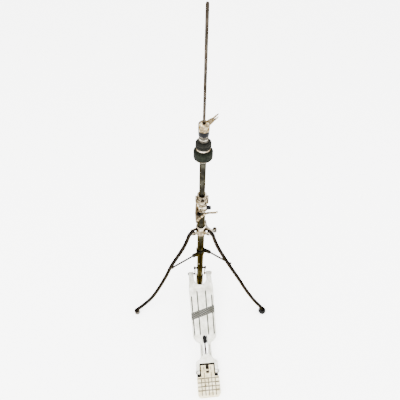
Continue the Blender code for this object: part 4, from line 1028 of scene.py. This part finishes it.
def boardRelief(x, s):
    # height above the board's field, and darkening from 0 to 1 (dirt, with painted shade in the grooves and
    # round the edges): three raised pads between grooves, a slanting ornament band across them, a textured
    # patch above the slot, and plain neck and fork.
    spread = 44 * mm / np.maximum(boardHalfWidth(s), 30 * mm)
    across = x * spread
    body = smoothStep(108 * mm, 113 * mm, s) * (1 - smoothStep(262 * mm, 268 * mm, s))
    chamfer = smoothStep(0, 3 * mm, 47 * mm - np.abs(across) - np.maximum(0, s - 252 * mm) * 0.9)
    lines = sum(groove(across, at, board["groove"]) for at in (-board["grooveAt"], board["grooveAt"]))
    border = sum(groove(across, at, board["groove"]) for at in (-board["borderAt"], board["borderAt"]))
    lines = lines * body * (1 - smoothStep(255 * mm, 262 * mm,
                                           s)) + border * body * (1 - smoothStep(238 * mm, 246 * mm, s))
    # ornament band: runs from low on the left to high on the right
    middle = 171 * mm + (x + 42 * mm) * 0.27
    off = s - middle
    inBand = 1 - smoothStep(11.5 * mm, 12.5 * mm, np.abs(off))
    edge = groove(np.abs(off), 11.0 * mm, 1.1 * mm)
    twist = 0.5 + 0.5 * np.sin((across * 0.9 + off * 1.1) * 2 * math.pi / (7.5 * mm))
    twist *= 0.5 + 0.5 * np.sin((across * 0.9 - off * 1.1) * 2 * math.pi / (7.5 * mm))
    inside = 1 - smoothStep(8.8 * mm, 9.6 * mm, np.abs(off))
    height = 0.8 * mm * chamfer * body - 1.5 * mm * lines * (1 - inBand)
    height += inBand * (-0.5 * mm + 0.5 * mm * twist * inside) - 0.5 * mm * edge * inBand
    dirtAndPaintedShade = lines * (1 - inBand) * 1.0 + inBand * (0.72 + 0.26 * (1 - twist) * inside + 0.25 * edge)
    patch = (1 - smoothStep(9 * mm, 10.5 * mm, np.abs(across))) * smoothStep(109 * mm, 111 * mm, s) \
        * (1 - smoothStep(126 * mm, 128 * mm, s))
    chequer = 0.5 + 0.5 * np.sin(x * 2 * math.pi / (3.4 * mm)) * np.sin(s * 2 * math.pi / (3.4 * mm))
    height += patch * (-0.5 * mm + 0.5 * mm * chequer)
    dirtAndPaintedShade += patch * (0.22 + 0.2 * (1 - chequer))
    neckLines = groove(np.abs(x), 13.2 * mm, 2.2 * mm) * smoothStep(46 * mm, 48 * mm,
                                                                    s) * (1 - smoothStep(78 * mm, 83 * mm, s))
    height -= 0.7 * mm * neckLines
    dirtAndPaintedShade += 0.8 * neckLines
    # painted shade round the casting's own edges: outer sides, the bowl at the toe and the slot
    at, reach, slotHalf = board["slot"]
    offSlot = np.hypot(x, np.maximum(np.abs(s - at) - reach + slotHalf, 0)) - slotHalf
    offBowl = np.where(s > 303 * mm, board["armInner"] - np.abs(x),
                       board["armInner"] - np.hypot(x, s - 303 * mm))
    offSide = boardHalfWidth(s) - np.abs(x)
    for off in (offSlot, -offBowl, offSide):
        dirtAndPaintedShade = np.maximum(dirtAndPaintedShade, 0.62 * (1 - smoothStep(0.5 * mm, 2.0 * mm, off)))
    return height, dirtAndPaintedShade


def plankGrid(stations, halfWidth, top, bottom, edge, across=101, under=25):
    # closed section at each station: the top surface from side to side, then the underside back.
    # x = halfWidth(s) u, height = top(x, s), rolled off near the sides by a quarter circle of radius edge.
    s = stations[:, None]
    u = np.sin(np.linspace(-math.pi / 2, math.pi / 2, across) * 0.98) / math.sin(math.pi / 2 * 0.98)
    u = 0.35 * u + 0.65 * np.linspace(-1, 1, across)
    width = halfWidth(s)
    topX = width * u[None]
    low = np.linspace(1, -1, under)
    underX = (width - 0.4 * mm) * low[None]
    roll = np.clip((np.abs(topX) - (width - edge)) / edge, 0, 1)
    topZ = top(topX, s) - edge * (1 - np.sqrt(1 - np.minimum(roll, 1) ** 2 * 0.999))
    underZ = bottom(underX, s)
    x = np.concatenate([topX, underX], axis=1)
    z = np.concatenate([topZ, underZ], axis=1)
    return np.stack([x, np.broadcast_to(s, x.shape), z], axis=2)


def makeFootboard():
    stations = np.concatenate([np.linspace(0, 24, 13), np.linspace(25, 92, 90), np.linspace(93, 145, 70),
                               np.linspace(146, 212, 150), np.linspace(213, 268, 50),
                               np.linspace(269, 321.6, 40)]) * mm
    stations = np.clip(stations, 0, boardReach)
    base = board["half"] - 1.1 * mm

    def top(x, s):
        plain = 1 - smoothStep(106 * mm, 112 * mm, s) * (1 - smoothStep(262 * mm, 272 * mm, s))
        return base + boardRelief(x, s)[0] + 1.0 * mm * plain

    def bottom(x, s):
        rim = smoothStep(-5.5 * mm, -4.0 * mm, np.abs(x) - boardHalfWidth(s))
        rib = groove(x, 0, 3.0 * mm) + groove(np.mod(s, 56 * mm), 28 * mm, 2.6 * mm)
        pan = smoothStep(88 * mm, 94 * mm, s) * (1 - smoothStep(258 * mm, 264 * mm, s))
        return -board["half"] + 2.4 * mm * pan * (1 - np.clip(rim + rib, 0, 1))

    grid = plankGrid(stations, boardHalfWidth, top, bottom, 1.2 * mm)
    mesh = gridMesh("board", grid)
    # U-shaped gap at the toe: half a circle, then straight arms
    a = np.linspace(-math.pi / 2, math.pi / 2, 41)
    bowl = np.stack([board["armInner"] * np.sin(a), 303 * mm - board["armInner"] * np.cos(a)], axis=1)
    gap = np.vstack([bowl, [(board["armInner"], 340 * mm), (-board["armInner"], 340 * mm)]])
    inner = board["forkInner"]
    fork = roundCorners([(-inner, -20 * mm), (inner, -20 * mm), (inner, 24.5 * mm), (-inner, 24.5 * mm)],
                        2.5 * mm, 5)
    at, reach, width = board["slot"]
    low, high = -board["half"], board["half"]
    tools = [gridMesh("tool", cutterGrid(outline, low, high, 0.9 * mm))
             for outline in (gap, fork, slotOutline((0, at), reach, width))]
    mesh = carve(mesh, "DIFFERENCE", *tools)
    eyes = []
    for sign in (-1, 1):
        for place, radius, start, end in ((boardReach, 7.2 * mm, board["armInner"], board["armOuter"]),
                                          (0.0, 6.6 * mm, board["forkInner"], board["forkOuter"])):
            drum = solidProfile([(radius, start), (radius, end)], 1.0 * mm)
            eyes.append(gridMesh("eye", pointed(turnedGrid(drum, 48), (0, place, 0), (sign, 0, 0))))
    mesh = carve(mesh, "UNION", *eyes)
    pins = []
    for place, radius in ((boardReach, 3.3 * mm), (0.0, 3.3 * mm)):
        hole = solidProfile([(radius, -50 * mm), (radius, 50 * mm)], 0.01 * mm, 1)
        pins.append(gridMesh("hole", pointed(turnedGrid(hole, 40), (0, place, 0), (1, 0, 0))))
    mesh = carve(mesh, "DIFFERENCE", *pins)
    points = readPoints(mesh)
    # dark mask: on the top face, dirt with painted shade in the grooves and round the edges; blotches on the
    # underside only
    dirtAndPaintedShade = boardRelief(points[:, 0], points[:, 1])[1] * (points[:, 2] > 0)
    dirtAndPaintedShade += 0.25 * smoothStep(0.2, 1.1, waves(points, 9 * mm, 5)) * (points[:, 2] < 0)
    setMask(mesh, "grime", dirtAndPaintedShade)
    placed = hinge + points[:, :1] * np.array([1, 0,
                                               0]) + points[:, 1:2] * boardAlong + points[:, 2:] * boardUp
    mesh.vertices.foreach_set("co", placed.ravel())
    addPiece("footboard", mesh, castBoard, "footboard", "cast_aluminium", "footboard")
    # black rubber block that fills the upper end of the slot
    outline = roundCorners([(-7.0 * mm, 85 * mm), (7.0 * mm, 85 * mm), (7.0 * mm, 107 * mm),
                            (-7.0 * mm, 107 * mm)], 3 * mm, 5)
    bumper = gridMesh("bumper",
                      inPlane(plateGrid(outline, -2.6 * mm, 1.0 * mm, 0.5 * mm), hinge, (1, 0, 0),
                              boardAlong))
    addPiece("slotBumper", bumper, blackRubber, "footboard", "black_rubber")
    for side, sign, finish in (("left", -1, rodSteel), ("right", 1, brassWash)):
        low, high = boxOf(f"toe_pin_{side}")
        reach = max(abs(low[0]), abs(high[0]))
        start = min(abs(low[0]), abs(high[0]))
        seat = board["armOuter"] + 0.5 * mm
        pin = solidProfile([(3.0 * mm, start), (3.0 * mm, seat), (5.2 * mm, seat), (4.4 * mm, reach)],
                           0.8 * mm)
        turnedPiece(f"toePin{side.title()}", pin, finish, "footboard", "bare_steel", f"toe_pin_{side}", toe,
                    (sign, 0, 0), 40, False)


def makeHeelPlate():
    values = {"front": -328.7 * mm, "tongue": 21.1 * mm, "corner": 11 * mm, "pitch": 11.0 * mm,
              "groove": 2.0 * mm, "rows": (-333.1 * mm, -344.8 * mm, -355.7 * mm, -366.5 * mm)}
    low, high = boxOf("heel_plate")
    back, nose = low[1], high[1]
    height = 21.5 * mm

    def halfWidth(y):
        into = np.clip((back + values["corner"] - y) / values["corner"], 0, 1)
        corner = values["corner"] * (1 - np.sqrt(1 - into ** 2 * 0.995))
        return np.where(y < values["front"], high[0] - corner, values["tongue"])

    def relief(x, y):
        plate = 1 - smoothStep(values["front"] - 3 * mm, values["front"] - 1 * mm, y)
        columns = sum(groove(x, n * values["pitch"], values["groove"]) for n in (-2, -1, 0, 1, 2))
        rows = sum(groove(y, at, values["groove"]) for at in values["rows"])
        inTongue = groove(np.abs(x), values["pitch"],
                          values["groove"]) * smoothStep(-332 * mm, -330 * mm, y) \
            * (1 - smoothStep(-303 * mm, -297 * mm, y))
        lines = np.clip(np.maximum(columns, rows) * plate + inTongue * 0.8, 0, 1)
        return -1.3 * mm * lines, lines

    def top(x, y):
        fall = np.clip((back + 14 * mm - y) / (14 * mm), 0, 1)
        slope = 17.0 * mm * (1 - np.sqrt(1 - fall ** 2 * 0.995))
        return height - slope + relief(x, y)[0]

    stations = np.concatenate([back + np.linspace(0, 1, 14) ** 2 * 9 * mm,
                               np.linspace(back + 9.3 * mm, -328.9 * mm, 120),
                               [-328.7 * mm + 1e-6], np.linspace(-328.2 * mm, nose, 50)])
    grid = plankGrid(stations, halfWidth, top, lambda x,
                     y: np.where(y < values["front"], 0.0, 12.2 * mm) + 0 * x, 2.0 * mm)
    mesh = gridMesh("heelPlate", grid)
    pin = np.array([0, hinge[1], hinge[2]])
    barrel = solidProfile([(6.4 * mm, -values["tongue"]), (6.4 * mm, values["tongue"])], 0.6 * mm)
    mesh = carve(mesh, "UNION", gridMesh("barrel", pointed(turnedGrid(barrel, 48), pin, (1, 0, 0))))
    hole = solidProfile([(3.5 * mm, -60 * mm), (3.5 * mm, 60 * mm)], 0.01 * mm, 1)
    pocket = roundCorners([(-29 * mm, back + 14 * mm), (29 * mm, back + 14 * mm),
                           (29 * mm, values["front"] - 4.5 * mm),
                           (-29 * mm, values["front"] - 4.5 * mm)], 5 * mm, 5)
    pocketTool = np.stack([np.column_stack([pocket, np.full(len(pocket), z)]) for z in (-10 * mm, 14 * mm)])
    slot = slotOutline((0, -300.5 * mm), 20.4 * mm, 5.2 * mm)
    tools = [gridMesh("hole", pointed(turnedGrid(hole, 40), pin, (1, 0, 0))), gridMesh("pocket", pocketTool),
             gridMesh("slot", cutterGrid(slot, 9 * mm, height, 0.8 * mm))]
    mesh = carve(mesh, "DIFFERENCE", *tools)
    floorOutline = [(-5.6 * mm, -321.4 * mm), (5.6 * mm, -321.4 * mm), (5.6 * mm, -306.5 * mm),
                    (-5.6 * mm, -306.5 * mm)]
    web = gridMesh("web", plateGrid(roundCorners(floorOutline, 0.5 * mm), 12.4 * mm, 14.4 * mm, 0.3 * mm))
    mesh = carve(mesh, "UNION", web)
    points = readPoints(mesh)
    onTop = points[:, 2] > 15 * mm
    # dark mask: the grooves on the top, dirt and painted shade, and blotches of dirt
    dirtAndPaintedShade = relief(points[:, 0], points[:, 1])[1] * 0.8 * onTop
    dirtAndPaintedShade += 0.18 * smoothStep(0.3, 1.2, waves(points, 11 * mm, 9)) * onTop
    setMask(mesh, "grime", dirtAndPaintedShade)
    addPiece("heelPlate", mesh, castHeel, "root", "cast_aluminium", "heel_plate")
    low, high = boxOf("heel_pin")
    reach, seat = high[0], high[0] - 1.4 * mm
    shape = solidProfile([(4.0 * mm, -reach), (4.4 * mm, -seat), (3.2 * mm, -seat), (3.2 * mm, seat),
                          (4.4 * mm, seat), (4.0 * mm, reach)], 0.4 * mm)
    turnedPiece("heelPin", shape, rodSteel, "root", "bare_steel", "heel_pin", pin, (1, 0, 0), 40, False)
    low, high = boxOf("heel_base")
    outline = roundCorners([(low[0], low[1]), (high[0], low[1]), (high[0], high[1]), (low[0], high[1])],
                           3 * mm, 5)
    pad = gridMesh("heelBase", plateGrid(outline, low[2], high[2], 0.5 * mm))
    addPiece("heelBase", pad, blackRubber, "root", "black_rubber", "heel_base")


def makeRadiusRod():
    # round bar from the column's foot to the heel plate, its end bent up into the heel plate's slot.
    low, high = boxOf("radius_rod")
    radius = high[0]
    z = low[2] + radius
    a = np.radians(np.linspace(0, 90, 10))
    bend = np.stack([-294 * mm - 6 * mm * np.sin(a), z + 6 * mm * (1 - np.cos(a))], axis=1)
    line = np.vstack([np.stack([np.linspace(high[1], -293 * mm, 40), np.full(40, z)], axis=1), bend[1:],
                      [(-300 * mm, high[2] - 2 * mm), (-300 * mm, high[2] - 0.2 * mm)]])
    path = np.column_stack([np.zeros(len(line)), line])
    t = np.linspace(0, 1, len(path))
    section = circleSection(radius, 24)[None] * (1 - 0.35 * (t > 0.999))[:, None, None]
    mesh = gridMesh("radiusRod", carriedGrid(section, path, (1, 0, 0)), angle=60)
    addPiece("radiusRod", mesh, rodSteel, "root", "bare_steel", "radius_rod")


makeLowerTube()
makeFoot()
makeSpring()
print("lower column made")
makeClamp()
makeLever()
makeUpperTube()
makeSeat()
print("clamp and upper tube made")
makeClutch()
makePullRod()
makeLink("left", -1, legPlate)
makeLink("right", 1, rodSteel)
print("clutch and pull rod made")
for side in ("left", "right", "rear"):
    makeLeg(side)
makeCollars()
print("tripod made")
makeFootboard()
makeHeelPlate()
makeRadiusRod()
print("pedal made")


# floor, light and camera

studio = {"floorHalf": 14.0, "floorColour": "F4F4F3", "worldColour": "FFFFFF", "worldStrength": 4.2,
          "floorGlow": 3.0,
          "cameraAt": (-0.058, -0.522, 1.139), "aheadDegrees": 84.2, "downDegrees": 50.07,
          "rollDegrees": 1.24, "lensMm": 27.6}


def makeStudio():
    half = studio["floorHalf"]
    mesh = bpy.data.meshes.new("floor")
    mesh.from_pydata([(-half, -half, 0), (half, -half, 0), (half, half, 0), (-half, half, 0)], [],
                     [(0, 1, 2, 3)])
    floor = bpy.data.objects.new("floor", mesh)
    bpy.context.collection.objects.link(floor)
    material, tree, shader = newMaterial("matt_paper_backdrop")  # seamless paper: plain, no shine
    shader.inputs["Base Color"].default_value = toLinear(studio["floorColour"])
    shader.inputs["Emission Color"].default_value = toLinear(studio["floorColour"])  # lit from below as well
    shader.inputs["Emission Strength"].default_value = studio["floorGlow"]
    shader.inputs["Roughness"].default_value = 0.95
    shader.inputs["Specular IOR Level"].default_value = 0.1
    mesh.materials.append(material)
    world = bpy.data.worlds.new("studioAir")
    bpy.context.scene.world = world
    world.use_nodes = True
    back = world.node_tree.nodes["Background"]
    back.inputs["Color"].default_value = toLinear(studio["worldColour"])
    back.inputs["Strength"].default_value = studio["worldStrength"]
    for name, place, size, power in (("keyBox", (-1.2, -0.9, 2.6), 1.6, 120),
                                     ("fillBox", (1.8, -0.4, 1.9), 1.4, 30)):
        data = bpy.data.lights.new(name, "AREA")
        data.shape = "SQUARE"
        data.size = size
        data.energy = power
        lamp = bpy.data.objects.new(name, data)
        bpy.context.collection.objects.link(lamp)
        lamp.location = place
        aim = np.array([0, -0.1, 0.4]) - np.array(place)
        lamp.rotation_euler = (math.atan2(math.hypot(aim[0], aim[1]), -aim[2]), 0,
                               math.atan2(-aim[0], aim[1]))


def makeCamera():
    data = bpy.data.cameras.new("camera")
    data.lens = studio["lensMm"]
    data.sensor_width = 36
    camera = bpy.data.objects.new("camera", data)
    bpy.context.collection.objects.link(camera)
    ahead, down, roll = (math.radians(studio[key]) for key in ("aheadDegrees", "downDegrees", "rollDegrees"))
    turn = Euler((math.pi / 2 - down, 0, ahead - math.pi / 2)).to_matrix() @ Matrix.Rotation(roll, 3, "Z")
    camera.matrix_world = Matrix.Translation(studio["cameraAt"]) @ turn.to_4x4()
    bpy.context.scene.camera = camera


makeStudio()
makeCamera()
print("studio made")
